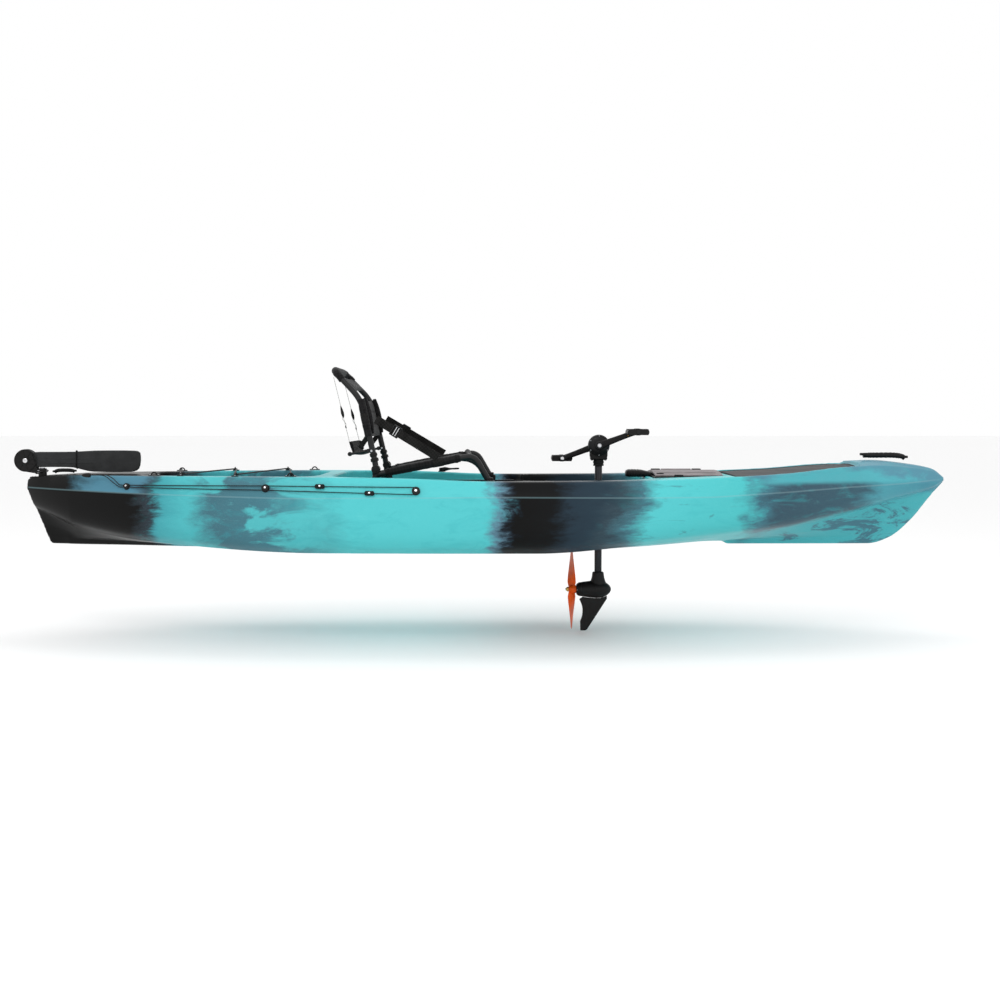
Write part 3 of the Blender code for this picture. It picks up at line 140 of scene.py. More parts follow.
def mesh_object(name, verts, faces, finish, smooth=35):
    """One object from points and faces, its faces turned outwards."""
    mesh = bpy.data.meshes.new(name)
    mesh.from_pydata([tuple(v) for v in verts], [], faces)
    shape = bmesh.new()
    shape.from_mesh(mesh)
    bmesh.ops.recalc_face_normals(shape, faces=shape.faces)
    shape.to_mesh(mesh)
    shape.free()
    mesh.shade_smooth()
    mesh.set_sharp_from_angle(angle=radians(smooth))
    if finish:
        mesh.materials.append(finish)
    return link(bpy.data.objects.new(name, mesh))


def loft(name, rings, finish, closed=False, smooth=35, caps=True):
    """Body through rings of the same number of points."""
    count = len(rings[0])
    verts = [point for ring in rings for point in ring]
    faces = []
    for i in range(len(rings) if closed else len(rings) - 1):
        a, b = i * count, (i + 1) % len(rings) * count
        for k in range(count):
            n = (k + 1) % count
            faces.append((a + k, a + n, b + n, b + k))
    if not closed and caps:
        faces.append(tuple(range(count)))
        faces.append(tuple(range((len(rings) - 1) * count, len(rings) * count)))
    return mesh_object(name, verts, faces, finish, smooth)


AXES = {"X": Matrix(((0, 0, 1), (0, 1, 0), (-1, 0, 0))), "Y": Matrix(((1, 0, 0), (0, 0, 1), (0, -1, 0))),
        "Z": Matrix.Identity(3)}


def turned(name, profile, axis, centre, finish, steps=48, smooth=35):
    """Revolve an outline of (radius, distance along the axis) round an axis."""
    turn = AXES[axis] if isinstance(axis, str) else Vector(axis).to_track_quat("Z", "Y").to_matrix()
    centre = Vector(centre)

    def place(r, z, a):
        return turn @ Vector((r * cos(a), r * sin(a), z)) + centre

    angles = [2 * pi * i / steps for i in range(steps)]
    if profile[0][0] > 0:
        return loft(name, [[place(r, z, a) for r, z in profile] for a in angles], finish, closed=True,
                    smooth=smooth)
    inner = profile[1:-1]
    verts = [place(r, z, a) for r, z in inner for a in angles]
    verts += [place(0, profile[0][1], 0), place(0, profile[-1][1], 0)]
    faces = []
    for i in range(steps):
        n = (i + 1) % steps
        for k in range(len(inner) - 1):
            a, b = k * steps, (k + 1) * steps
            faces.append((a + i, a + n, b + n, b + i))
        last = (len(inner) - 1) * steps
        faces.append((len(verts) - 2, n, i))
        faces.append((len(verts) - 1, last + i, last + n))
    return mesh_object(name, verts, faces, finish, smooth)


def disc_profile(radius, low, high, round_by=0.001, steps=4):
    """Outline of a round piece with rounded rims, for turned()."""
    points = [(0, low)]
    for i in range(steps + 1):
        a = pi / 2 * i / steps
        points.append((radius - round_by + round_by * sin(a), low + round_by - round_by * cos(a)))
    for i in range(steps + 1):
        a = pi / 2 * i / steps
        points.append((radius - round_by + round_by * cos(a), high - round_by + round_by * sin(a)))
    return points + [(0, high)]


def tube_rings(path, radius, sides=20, squash=1.0, side=None):
    """Rings along a path; radius is one number or one for each point."""
    path = [Vector(p) for p in path]
    rings = []
    for i, point in enumerate(path):
        ahead = (path[min(i + 1, len(path) - 1)] - path[max(i - 1, 0)]).normalized()
        if side is None:
            side = ahead.orthogonal()
        side = (side - ahead * side.dot(ahead)).normalized()
        up = ahead.cross(side)
        r = radius[i] if hasattr(radius, "__len__") else radius
        rings.append([point + r * (side * cos(2 * pi * k / sides) + up * squash * sin(2 * pi * k / sides))
                      for k in range(sides)])
    return rings


def tube(name, path, radius, finish, sides=20, squash=1.0, side=None):
    """Round tube along a path."""
    return loft(name, tube_rings(path, radius, sides, squash, side), finish, smooth=50)


def curved(points, steps=8):
    """Points of a smooth curve through given points."""
    points = [Vector(p) for p in points]
    full = [2 * points[0] - points[1], *points, 2 * points[-1] - points[-2]]
    path = []
    for a, b, c, d in zip(full, full[1:], full[2:], full[3:]):
        for i in range(steps):
            t = i / steps
            path.append(0.5 * (2 * b + (c - a) * t + (2 * a - 5 * b + 4 * c - d) * t ** 2
                               + (3 * b - a - 3 * c + d) * t ** 3))
    return path + [points[-1]]


def bent(points, radius, steps=8):
    """Straight runs joined by round bends, as a bent tube has them."""
    points = [Vector(p) for p in points]
    path = [points[0]]
    for a, b, c in zip(points, points[1:], points[2:]):
        back, ahead = (a - b), (c - b)
        reach = min(radius, back.length * 0.45, ahead.length * 0.45)
        first, last = b + back.normalized() * reach, b + ahead.normalized() * reach
        for i in range(steps + 1):
            t = i / steps
            path.append(first * (1 - t) ** 2 + b * 2 * t * (1 - t) + last * t * t)
    return path + [points[-1]]


def plate(name, outline, low, high, finish, plane="XZ", smooth=35):
    """Flat plate: an outline in one plane, between two distances across it."""
    def place(a, b, across):
        return {"XZ": (a, across, b), "XY": (a, b, across), "YZ": (across, a, b)}[plane]
    return loft(name, [[place(a, b, across) for a, b in outline] for across in (low, high)], finish,
                smooth=smooth)


def block(name, low, high, finish):
    """Box between two corners."""
    outline = ((low[0], low[1]), (high[0], low[1]), (high[0], high[1]), (low[0], high[1]))
    return plate(name, outline, low[2], high[2], finish, "XY")


def rounded(obj, width, segments=3, angle=30):
    """Round off the sharp edges of a mesh."""
    edge = obj.modifiers.new("bevel", "BEVEL")
    edge.width = width
    edge.segments = segments
    edge.limit_method = "ANGLE"
    edge.angle_limit = radians(angle)
    edge.harden_normals = False
    return bake(obj)


def bake(obj):
    """Replace an object's mesh by what its modifiers make of it."""
    bpy.context.view_layer.update()
    graph = bpy.context.evaluated_depsgraph_get()
    made = bpy.data.meshes.new_from_object(obj.evaluated_get(graph))
    obj.modifiers.clear()
    obj.data = made
    return obj


def combine(target, operation, tools):
    """Add tool objects to a target or cut them from it; the tools are used up."""
    for tool in tools:
        step = target.modifiers.new(operation.lower(), "BOOLEAN")
        step.operation = operation
        step.solver = "EXACT"
        step.object = tool
    bake(target)
    for tool in tools:
        bpy.data.objects.remove(tool)
    return target


def fuse(target, *tools):
    return combine(target, "UNION", tools)


def cut(target, *tools):
    return combine(target, "DIFFERENCE", tools)


def join(name, parts):
    """Several meshes as one object, with their materials kept."""
    shape = bmesh.new()
    finishes = []
    for part in parts:
        bpy.context.view_layer.update()
        start = len(shape.faces)
        copy = part.data.copy()
        copy.transform(part.matrix_world)
        shape.from_mesh(copy)
        shape.faces.ensure_lookup_table()
        for face in shape.faces[start:]:
            finish = part.data.materials[face.material_index]
            if finish not in finishes:
                finishes.append(finish)
            face.material_index = finishes.index(finish)
        bpy.data.meshes.remove(copy)
    mesh = bpy.data.meshes.new(name)
    shape.to_mesh(mesh)
    shape.free()
    for finish in finishes:
        mesh.materials.append(finish)
    for part in parts:
        bpy.data.objects.remove(part)
    return link(bpy.data.objects.new(name, mesh))


def egg(half_wide, half_thick, count=28, power=0.55):
    """Rounded box outline as (across, through) pairs."""
    points = []
    for k in range(count):
        a = 2 * pi * k / count
        c, s = cos(a), sin(a)
        points.append((half_wide * abs(c) ** power * (1 if c >= 0 else -1),
                       half_thick * abs(s) ** power * (1 if s >= 0 else -1)))
    return points


def disc_points(x, z, radius, start=0, end=360, steps=48):
    """Points of a circle, or of an arc with both of its ends."""
    angles = [radians(start + (end - start) * k / steps) for k in range(steps + (end - start < 360))]
    return [(x + radius * cos(a), z + radius * sin(a)) for a in angles]


def curve_cord(name, path, radius, finish):
    """Round cord as a bevelled curve of one open spline."""
    data = bpy.data.curves.new(name, "CURVE")
    data.dimensions = "3D"
    data.bevel_depth = radius
    data.bevel_resolution = 4
    data.use_fill_caps = True
    spline = data.splines.new("POLY")
    spline.points.add(len(path) - 1)
    for point, place in zip(spline.points, path):
        point.co = (*place, 1)
    data.materials.append(finish)
    return link(bpy.data.objects.new(name, data))


def piece(obj, body, slot, *nodes):
    """Fix a piece to its body and hide the CAD nodes it stands for; the slot is not used."""
    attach(obj, body)
    if nodes:
        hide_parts(*nodes)
    return obj


# ---------------------------------------------------------------- materials

class Graph:
    """A material's node tree, with its Principled shader and a few short ways to add nodes."""

    def __init__(self, name):
        self.material = bpy.data.materials.new(name)
        self.material.use_nodes = True
        self.tree = self.material.node_tree
        self.shader = self.tree.nodes["Principled BSDF"]
        self.place = self.tree.nodes.new("ShaderNodeTexCoord").outputs["Object"]

    def set(self, node, **values):
        for name, value in values.items():
            name = name.replace("_", " ")
            if isinstance(value, bpy.types.NodeSocket):
                self.tree.links.new(value, node.inputs[name])
            else:
                node.inputs[name].default_value = value
        return node

    def stretch(self, scale, turn=(0, 0, 0)):
        node = self.tree.nodes.new("ShaderNodeMapping")
        node.inputs["Scale"].default_value = scale
        node.inputs["Rotation"].default_value = turn
        self.tree.links.new(self.place, node.inputs["Vector"])
        return node.outputs["Vector"]

    def noise(self, scale, detail=4.0, roughness=0.55, vector=None, distortion=0.0):
        node = self.tree.nodes.new("ShaderNodeTexNoise")
        self.set(node, Scale=scale, Detail=detail, Roughness=roughness, Distortion=distortion,
                 Vector=vector or self.place)
        return node.outputs["Fac"]

    def cells(self, scale, vector=None, feature="F1", randomness=1.0):
        node = self.tree.nodes.new("ShaderNodeTexVoronoi")
        node.feature = feature
        self.set(node, Scale=scale, Randomness=randomness, Vector=vector or self.place)
        return node.outputs["Distance"]

    def waves(self, scale, direction="X", vector=None, distortion=0.0):
        node = self.tree.nodes.new("ShaderNodeTexWave")
        node.bands_direction = direction
        self.set(node, Scale=scale, Distortion=distortion, Vector=vector or self.place)
        return node.outputs["Fac"]

    def math(self, operation, a, b=0.0, c=0.0):
        node = self.tree.nodes.new("ShaderNodeMath")
        node.operation = operation
        for socket, value in zip(node.inputs, (a, b, c)):
            if isinstance(value, bpy.types.NodeSocket):
                self.tree.links.new(value, socket)
            else:
                socket.default_value = value
        return node.outputs[0]

    def add(self, a, b):
        return self.math("ADD", a, b)

    def sub(self, a, b):
        return self.math("SUBTRACT", a, b)

    def mul(self, a, b):
        return self.math("MULTIPLY", a, b)

    def off(self, value, centre, size):
        """A noise value's distance from its centre, scaled."""
        return self.mul(self.sub(value, centre), size)

    def band(self, value, centre, wide, narrow):
        """1 close to the centre, 0 beyond the wide distance from it."""
        return self.step(self.math("ABSOLUTE", self.sub(value, centre)), wide, narrow)

    def axes(self):
        node = self.tree.nodes.new("ShaderNodeSeparateXYZ")
        self.tree.links.new(self.place, node.inputs[0])
        return node.outputs

    def outward(self):
        """1 where the surface faces away from the centre plane."""
        surface = self.tree.nodes.new("ShaderNodeNewGeometry")
        facing = self.tree.nodes.new("ShaderNodeSeparateXYZ")
        self.tree.links.new(surface.outputs["Normal"], facing.inputs[0])
        return self.step(self.mul(facing.outputs[1], self.axes()[1]), 0.02, 0.06)

    def step(self, value, low, high):
        """0 below low, 1 above high, smooth between."""
        node = self.tree.nodes.new("ShaderNodeMapRange")
        node.interpolation_type = "SMOOTHSTEP"
        self.set(node, Value=value)
        node.inputs["From Min"].default_value = low
        node.inputs["From Max"].default_value = high
        return node.outputs["Result"]

    def mix(self, share, a, b, blend="MIX"):
        node = self.tree.nodes.new("ShaderNodeMix")
        node.data_type = "RGBA"
        node.blend_type = blend
        for index, value in ((0, share), (6, a), (7, b)):
            if isinstance(value, bpy.types.NodeSocket):
                self.tree.links.new(value, node.inputs[index])
            else:
                node.inputs[index].default_value = value
        return node.outputs[2]

    def ramp(self, value, stops, interpolation="LINEAR"):
        node = self.tree.nodes.new("ShaderNodeValToRGB")
        band = node.color_ramp
        band.interpolation = interpolation
        while len(band.elements) > 1:
            band.elements.remove(band.elements[-1])
        band.elements[0].position, band.elements[0].color = stops[0]
        for position, colour in stops[1:]:
            band.elements.new(position).color = colour
        self.tree.links.new(value, node.inputs["Fac"])
        return node.outputs["Color"]

    def bump(self, height, strength, distance, normal=None):
        node = self.tree.nodes.new("ShaderNodeBump")
        self.set(node, Height=height, Strength=strength, Distance=distance)
        if normal:
            self.tree.links.new(normal, node.inputs["Normal"])
        return node.outputs["Normal"]

    def finish(self, **values):
        self.set(self.shader, **values)
        return self.material


def tinted(tint, share=1.0, plus=0):
    """Linear colour of an sRGB tint made darker or lighter."""
    return srgb(*(c * share + plus for c in tint))


RAMP_HALF = 1.9


def lengthwise(x):
    """Place along the hull as a share from 0 to 1, for a colour ramp."""
    return (x + RAMP_HALF) / (2 * RAMP_HALF)


def camo_plastic():
    """Rotomoulded polyethylene with turquoise, slate and black powders run together, and painted light on the
    ridge and bow.
    """
    g = Graph("camo_plastic")
    x, _, z = g.axes()

    # Three sizes of noise push the bounds between the colours to and fro.
    broad = g.noise(1.0, 6.0, 0.62, g.stretch((1.9, 1.5, 5.2)), 0.6)
    streak = g.noise(1.0, 8.0, 0.7, g.stretch((5.5, 4.5, 17.0)), 0.9)
    fringe = g.noise(1.0, 10.0, 0.75, g.stretch((14.0, 12.0, 34.0)), 0.5)
    warp = g.add(g.add(g.off(broad, 0.5, 0.36), g.off(streak, 0.5, 0.17)), g.off(fringe, 0.5, 0.07))
    shifted = g.add(x, warp)
    place = g.math("DIVIDE", g.add(shifted, RAMP_HALF), 2 * RAMP_HALF)

    turquoise, deep, pale = srgb(78, 196, 200), srgb(44, 168, 176), srgb(112, 214, 214)
    slate, dark, black = srgb(56, 104, 118), srgb(34, 50, 62), srgb(5, 5, 5)
    navy, mauve = srgb(20, 32, 46), srgb(84, 122, 142)
    bow_slate, bow_cyan = srgb(42, 72, 88), srgb(66, 146, 160)
    stops = ((-1.36, black), (-1.285, navy), (-1.245, srgb(56, 156, 166)), (-1.13, srgb(70, 180, 186)),
             (-1.03, slate), (-0.8, srgb(60, 118, 132)), (-0.66, srgb(72, 172, 178)),
             (-0.56, turquoise), (-0.02, turquoise), (0.035, mauve), (0.075, navy), (0.1, black),
             (0.25, srgb(9, 11, 13)), (0.33, dark), (0.5, srgb(40, 60, 72)), (0.565, slate),
             (0.64, turquoise), (1.0, srgb(70, 188, 191)), (1.08, srgb(52, 104, 120)), (1.14, bow_slate),
             (1.44, srgb(44, 80, 96)), (1.54, bow_cyan), (1.8, srgb(56, 130, 148)))
    colour = g.ramp(place, [(lengthwise(value), tint) for value, tint in stops])

    # Clouds and wisps of a second colour, kept off the black zones.
    stern_black = g.step(shifted, -1.29, -1.37)
    middle_black = g.mul(g.step(shifted, 0.05, 0.1), g.step(shifted, 0.56, 0.4))
    light = g.sub(1.0, g.math("MAXIMUM", stern_black, middle_black))
    cloud = g.step(g.noise(1.0, 7.0, 0.62, g.stretch((3.1, 2.6, 9.5), (0.2, 0.1, 0.3)), 0.8), 0.5, 0.6)
    rear = g.mul(g.step(x, -1.22, -1.1), g.sub(1.0, g.step(x, -0.72, -0.5)))
    colour = g.mix(g.mul(g.mul(cloud, rear), 0.75), colour, turquoise)
    wisp = g.step(g.noise(1.0, 9.0, 0.7, g.stretch((4.0, 4.0, 15.0), (0.4, 0.0, 0.1)), 1.2), 0.585, 0.66)
    colour = g.mix(g.mul(g.mul(wisp, g.band(x, 0.84, 0.42, 0.3)), 0.55), colour, slate)

    # The bow is lighter under a rising crease, and along its top a painted highlight lightens it.
    crease = g.math("MULTIPLY_ADD", g.sub(x, 0.95), 0.212, 0.052)
    below = g.step(g.sub(g.add(z, g.mul(warp, 0.16)), crease), 0.012, -0.012)
    forward = g.step(shifted, 1.0, 1.12)
    low_bow = g.mix(g.step(streak, 0.52, 0.6), srgb(62, 164, 172), srgb(56, 108, 124))
    colour = g.mix(g.mul(below, forward), colour, low_bow)
    # Painted highlight: the bow's top band is given a lighter colour, as if lit from above.
    above = g.step(g.add(z, g.mul(warp, 0.06)), 0.262, 0.285)
    bow_top_highlight = g.mix(g.step(broad, 0.46, 0.56), srgb(76, 172, 182), srgb(80, 138, 158))
    colour = g.mix(g.mul(g.mul(above, forward), 0.85), colour, bow_top_highlight)
    flecks = g.mul(g.step(fringe, 0.56, 0.72), light)
    colour = g.mix(g.mul(flecks, 0.22), colour, pale)
    shade = g.mul(g.step(streak, 0.5, 0.34), light)
    colour = g.mix(g.mul(shade, 0.26), colour, deep)

    # The side's ridge, read from its table: a paler panel above it at the stern, which is a painted
    # reflection, and a pale line along the ridge, which is a painted highlight.
    line = g.ramp(g.math("DIVIDE", g.add(x, RAMP_HALF), 2 * RAMP_HALF),
                  [(lengthwise(at), (2 * level, 2 * level, 2 * level, 1)) for at, level in RIDGE])
    rise = g.sub(z, g.mul(line, 0.5))
    outside = g.outward()
    # Painted reflection: the outer side above the ridge at the stern is turned a paler blue.
    panel = g.mul(g.step(rise, 0.001, 0.006), outside)
    stern_reflection_zone = g.mul(g.step(shifted, -1.7, -1.54), g.step(shifted, -1.26, -1.36))
    colour = g.mix(g.mul(g.mul(panel, stern_reflection_zone), 0.85), colour, srgb(84, 138, 160))
    # Painted highlight: a thin pale line along the ridge on the outer side.
    edge = g.mul(g.band(rise, 0.002, 0.0045, 0.0008), outside)
    colour = g.mix(g.mul(edge, 0.26), colour, srgb(138, 172, 178))
    speck = g.ramp(g.step(g.noise(900.0, 2.0, 0.5), 0.3, 0.7),
                   ((0.0, srgb(20, 30, 34)), (1.0, srgb(220, 245, 245))))
    colour = g.mix(g.mul(light, 0.05), colour, speck)

    peel = g.bump(g.noise(46.0, 3.0, 0.5), 0.1, 0.0016)
    grain = g.bump(g.noise(620.0, 2.0, 0.5), 0.06, 0.0004, peel)
    rough = g.math("MULTIPLY_ADD", g.noise(7.0, 5.0, 0.6), 0.16, 0.28)
    return g.finish(Base_Color=colour, Roughness=rough, Normal=grain, Specular_IOR_Level=0.13)


def moulded(name, tint, roughness=0.45, grain=480.0, depth=0.0004, worn=0.25):
    """Moulded plastic with a fine grain, faint mottling and lighter scuffs."""
    g = Graph(name)
    mottle = g.noise(22.0, 5.0, 0.6)
    colour = g.ramp(mottle, ((0.3, tinted(tint, 0.82)), (0.7, tinted(tint, 1.12))))
    scuff = g.step(g.noise(60.0, 8.0, 0.72, g.stretch((1, 1, 2.5))), 0.62, 0.74)
    colour = g.mix(g.mul(scuff, worn), colour, tinted(tint, plus=42))
    rough = g.math("MULTIPLY_ADD", mottle, 0.18, roughness - 0.09)
    fine = g.bump(g.cells(grain), 0.35, depth)
    wide = g.bump(g.noise(90.0, 3.0), 0.12, 0.0008, fine)
    return g.finish(Base_Color=colour, Roughness=rough, Normal=wide, Specular_IOR_Level=0.18)


def metal(name, tint, roughness=0.3, metallic=1.0, stretch=(40, 900, 900), depth=0.0002):
    """Metal with fine lines along one way and small changes of gloss."""
    g = Graph(name)
    lines = g.noise(1.0, 3.0, 0.6, g.stretch(stretch))
    colour = g.ramp(lines, ((0.25, tinted(tint, 0.8)), (0.75, tinted(tint))))
    rough = g.math("MULTIPLY_ADD", lines, 0.22, roughness - 0.1)
    return g.finish(Base_Color=colour, Roughness=rough, Metallic=metallic,
                    Normal=g.bump(lines, 0.15, depth))


def powder_coat(name, tint=(20, 20, 21), roughness=0.42):
    """Black powder coat on aluminium tube."""
    g = Graph(name)
    cloud = g.noise(30.0, 4.0, 0.6)
    colour = g.ramp(cloud, ((0.3, tinted(tint, 0.8)), (0.7, tinted(tint, 1.2))))
    peel = g.bump(g.noise(420.0, 2.0, 0.5), 0.22, 0.0005)
    return g.finish(Base_Color=colour, Roughness=g.math("MULTIPLY_ADD", cloud, 0.16, roughness - 0.08),
                    Normal=peel, Specular_IOR_Level=0.3)


def woven(name, tint, pitch=0.0016, turn=(0, 0, 0), sheen=0.35, lift=1.0):
    """Woven cloth: three crossing sets of threads, with a faint stain and sheen."""
    g = Graph(name)
    place = g.stretch((1, 1, 1), turn)
    repeat = 0.05 * 2 * pi / pitch / 5
    first, second, third = (g.waves(repeat, way, place) for way in "XZY")
    weave = g.mul(g.add(g.add(first, second), third), 0.34)
    shade = g.noise(26.0, 6.0, 0.6)
    colour = g.ramp(weave, ((0.15, tinted(tint, 0.45)), (0.8, tinted(tint, lift))))
    colour = g.mix(g.mul(g.step(shade, 0.45, 0.72), 0.35), colour, tinted(tint, plus=16))
    return g.finish(Base_Color=colour, Roughness=0.82, Normal=g.bump(weave, 0.6, pitch * 0.35),
                    Sheen_Weight=sheen, Sheen_Roughness=0.45, Specular_IOR_Level=0.12)


# ---------------------------------------------------------------- hull

def half_beam(x):
    """Half width of the hull at x."""
    end = STERN_HALF_WIDTH if x < 0 else BOW_HALF_WIDTH
    return end + (MAX_HALF_BEAM - end) * (1 - (abs(x) / BEAM_END) ** 2.6) ** 0.9


def deck_height(x):
    """Height of the gunwale at x."""
    return along(GUNWALE, x)


def arc_between(a, b, bulge, steps):
    """Points from a to b on a shallow curve, the first left out."""
    (ay, az), (by, bz) = a, b
    points = []
    for i in range(1, steps + 1):
        t = i / steps
        lift = 4 * bulge * t * (1 - t)
        points.append((ay + (by - ay) * t + (bz - az) * lift, az + (bz - az) * t - (by - ay) * lift))
    return points


def hull_section(x):
    """Points (y, z) of the port half, from the keel up to the middle of the deck."""
    beam = half_beam(x)
    keel = along(KEEL, x)
    shoulder = keel + along(FIN_DEPTH, x)
    edge_z = along(BOTTOM_EDGE, x)
    edge_y = along(BOTTOM_SHARE, x) * beam
    ridge = along(RIDGE, x)
    top = deck_height(x)
    narrow = min(1.0, beam / 0.12)
    shoulder_y = min(0.03, edge_y * 0.4)
    middle_z = shoulder + max(0.0, edge_z - 0.006 - shoulder) * 0.45
    side = [(edge_y, edge_z), (edge_y + (beam - edge_y) * 0.52, edge_z + (ridge - edge_z) * 0.16),
            (edge_y + (beam - edge_y) * 0.82, edge_z + (ridge - edge_z) * 0.45), (beam, ridge)]
    points = [(0, keel), (0.4 * shoulder_y, keel)]
    points += arc_between(points[-1], (shoulder_y, shoulder), 0.0, 3)
    points += arc_between(points[-1], (edge_y * 0.6, middle_z), 0.0, 5)
    points += arc_between(points[-1], side[0], 0.0, 4)
    smooth = curved([(0, y, z) for y, z in side], 7)
    points += [(p.y, p.z) for p in smooth[1:]]
    lip = (beam - 0.029 * narrow, top - 0.01 * narrow)
    points += arc_between(side[-1], lip, 0.03, 6)
    points += arc_between(lip, (beam - 0.044 * narrow, top), 0.16, 4)
    points += arc_between(points[-1], (beam * 0.5, top + along(CROWN, x) * 0.7), 0.0, 4)
    points += arc_between(points[-1], (0, top + along(CROWN, x)), 0.0, 4)
    return points


def hull_ring(x):
    """Whole section at x as 3-D points; the stern leans forward towards the keel."""
    half = hull_section(x)
    lean = STERN_RAKE * max(0.0, min(1.0, (RAKE_FROM - x) / RAKE_REACH))
    both = half + [(-y, z) for y, z in reversed(half[1:-1])]
    return [Vector((x + lean * max(0.0, RAKE_BELOW - z), y, z)) for y, z in both]


def hull_stations():
    """Places of the sections, closer together at the ends and at the fin's step."""
    xs, x = [], -HULL_END
    while x < HULL_END:
        xs.append(x)
        if abs(x) > 1.6 or 0.94 < x < 1.0:
            x += 0.0075
        else:
            x += 0.02
    return xs + [HULL_END]


def well(name, spec, points=40):
    """Cutter of a deck well whose sides follow the beam, with round ends and sloping walls."""
    x0, x1, floor, margin, draft = spec
    rings = []
    for z, shrink in ((floor, draft), (floor + 0.5 * (DECK_LEVEL - floor), draft * 0.4), (TOOL_TOP, 0)):
        low, high = x0 + shrink, x1 - shrink
        side = []
        for i in range(points + 1):
            u = cos(pi * i / points)
            x = low + (high - low) * (0.5 - 0.5 * u)
            side.append((x, (1 - abs(u) ** 7) ** (1 / 7) * (half_beam(x) - margin - shrink)))
        rings.append([(x, y, z) for x, y in side + [(a, -b) for a, b in reversed(side[1:-1])]])
    return loft(name, rings, None)


def foot_well():
    """Cutter of the cockpit: narrow between the seat ledges and wide at the feet."""
    x0, x1, floor = FOOT_WELL
    rings = []
    for z, shrink in ((floor, 0.014), (TOOL_TOP, 0.0)):
        low, high = x0 + shrink, x1 - shrink
        narrow, wide = SEAT_FLOOR_HALF - shrink, FOOT_FLOOR_HALF - shrink
        hand_set = [(low, narrow - 0.05), (low + 0.05, narrow), (0.05, narrow), (0.09, narrow + 0.02),
                    (0.145, wide - 0.02), (0.19, wide), (0.42, wide - 0.006), (high - 0.06, wide - 0.035),
                    (high, wide - 0.09)]
        side = [(p.x, p.y) for p in bent([(a, b, 0) for a, b in hand_set], 0.03, 4)]
        rings.append([(x, y, z) for x, y in side + [(a, -b) for a, b in reversed(side)]])
    return loft("foot_well", rings, None)


def round_tool(x, y, low, high, radius):
    """Cutter of an upright round hole."""
    return turned("hole", ((0, low), (radius, low), (radius, high), (0, high)), "Z", (x, y, 0), None, 24)


def hull_form():
    """The outer form less its wells, seats and through holes, with crisp edges."""
    hull = loft("hull_form", [hull_ring(x) for x in hull_stations()], None)
    cockpit = foot_well()
    x0, x1, half, top = HUMP
    cut(cockpit, block("hump", (x0, -half, -0.05), (x1, half, top), None))
    x0, x1, z, half = CONSOLE_SEAT
    tools = [well("rear_well", REAR_WELL), well("ledge_well", LEDGE_WELL), well("bow_well", BOW_WELL),
             cockpit, block("console_seat", (x0, -half, z), (x1, half, TOOL_TOP), None),
             block("trunk", (TRUNK[0], -TRUNK[2], -0.05), (TRUNK[1], TRUNK[2], TOOL_TOP), None),
             block("hatch", (HATCH[0], -HATCH[2], 0.16), (HATCH[1], HATCH[2], TOOL_TOP), None),
             block("stern_pad", (-1.9, -0.032, 0.283), (-1.77, 0.032, 0.4), None)]
    tools += [round_tool(x, side * y, -0.03, 0.25, SCUPPER_R) for x, y in SCUPPERS for side in (-1, 1)]
    tools += moulded_details() + [cover_recess()]
    return cut(hull, *tools)


def cover_recess():
    """Cutter of the shallow recess that takes the bow cover."""
    x0, x1, depth = COVER_RECESS
    rings = []
    for i in range(25):
        x = x0 + (x1 - x0) * i / 24
        half, floor = half_beam(x) - COVER_MARGIN, deck_height(x) - depth
        rings.append([(x, -half, floor), (x, half, floor), (x, half, 0.5), (x, -half, 0.5)])
    return loft("cover_recess", rings, None)


def moulded_details():
    """Cutters for the notches in the gunwales and the drainage grooves of the rear well."""
    tools = []
    for side in (-1, 1):
        x, y = -0.17, side * (half_beam(-0.17) + 0.004)
        rings = []
        for z, wide, deep in ((0.262, 0.005, 0.02), (0.284, 0.011, 0.034), (0.34, 0.016, 0.05)):
            rings.append([(x - wide, y, z), (x + wide, y, z), (x + wide * 0.8, y - side * deep, z),
                          (x - wide * 0.8, y - side * deep, z)])
        tools.append(loft("notch", rings, None))
    for y in (-0.16, -0.08, 0.0, 0.08, 0.16):
        reach = 0.27 if abs(y) < 0.12 else 0.2
        path = [(-1.03 - reach, y, 0.143), (-1.02 + reach, y, 0.143)]
        tools.append(tube("groove", path, 0.0085, None, 12))
    return tools


def soften(form, voxel, finish):
    """Remesh a crisp form evenly, round its edges and lay the rest back on the true surface."""
    data = form.data
    tree = BVHTree.FromPolygons([v.co for v in data.vertices], [p.vertices for p in data.polygons])
    grid = form.modifiers.new("remesh", "REMESH")
    grid.mode = "VOXEL"
    grid.voxel_size = voxel
    relax = form.modifiers.new("relax", "SMOOTH")
    relax.factor = 0.6
    relax.iterations = 4
    bake(form)
    mesh = form.data
    for vertex in mesh.vertices:
        place, _, _, gap = tree.find_nearest(vertex.co)
        share = 1 - min(1.0, max(0.0, (gap - 0.18 * voxel) / (0.25 * voxel)))
        vertex.co = vertex.co.lerp(place, share)
    mesh.materials.clear()
    mesh.materials.append(finish)
    mesh.shade_smooth()
    return form


def make_hull():
    """The hull's outer surface with its wells, its edges rounded."""
    form = hull_form()
    hull = soften(form, 0.0065, camo_plastic())
    hull.name = "hull_skin"
    return piece(hull, "hull", "hull_plastic", "hull")


# ---------------------------------------------------------------- studio

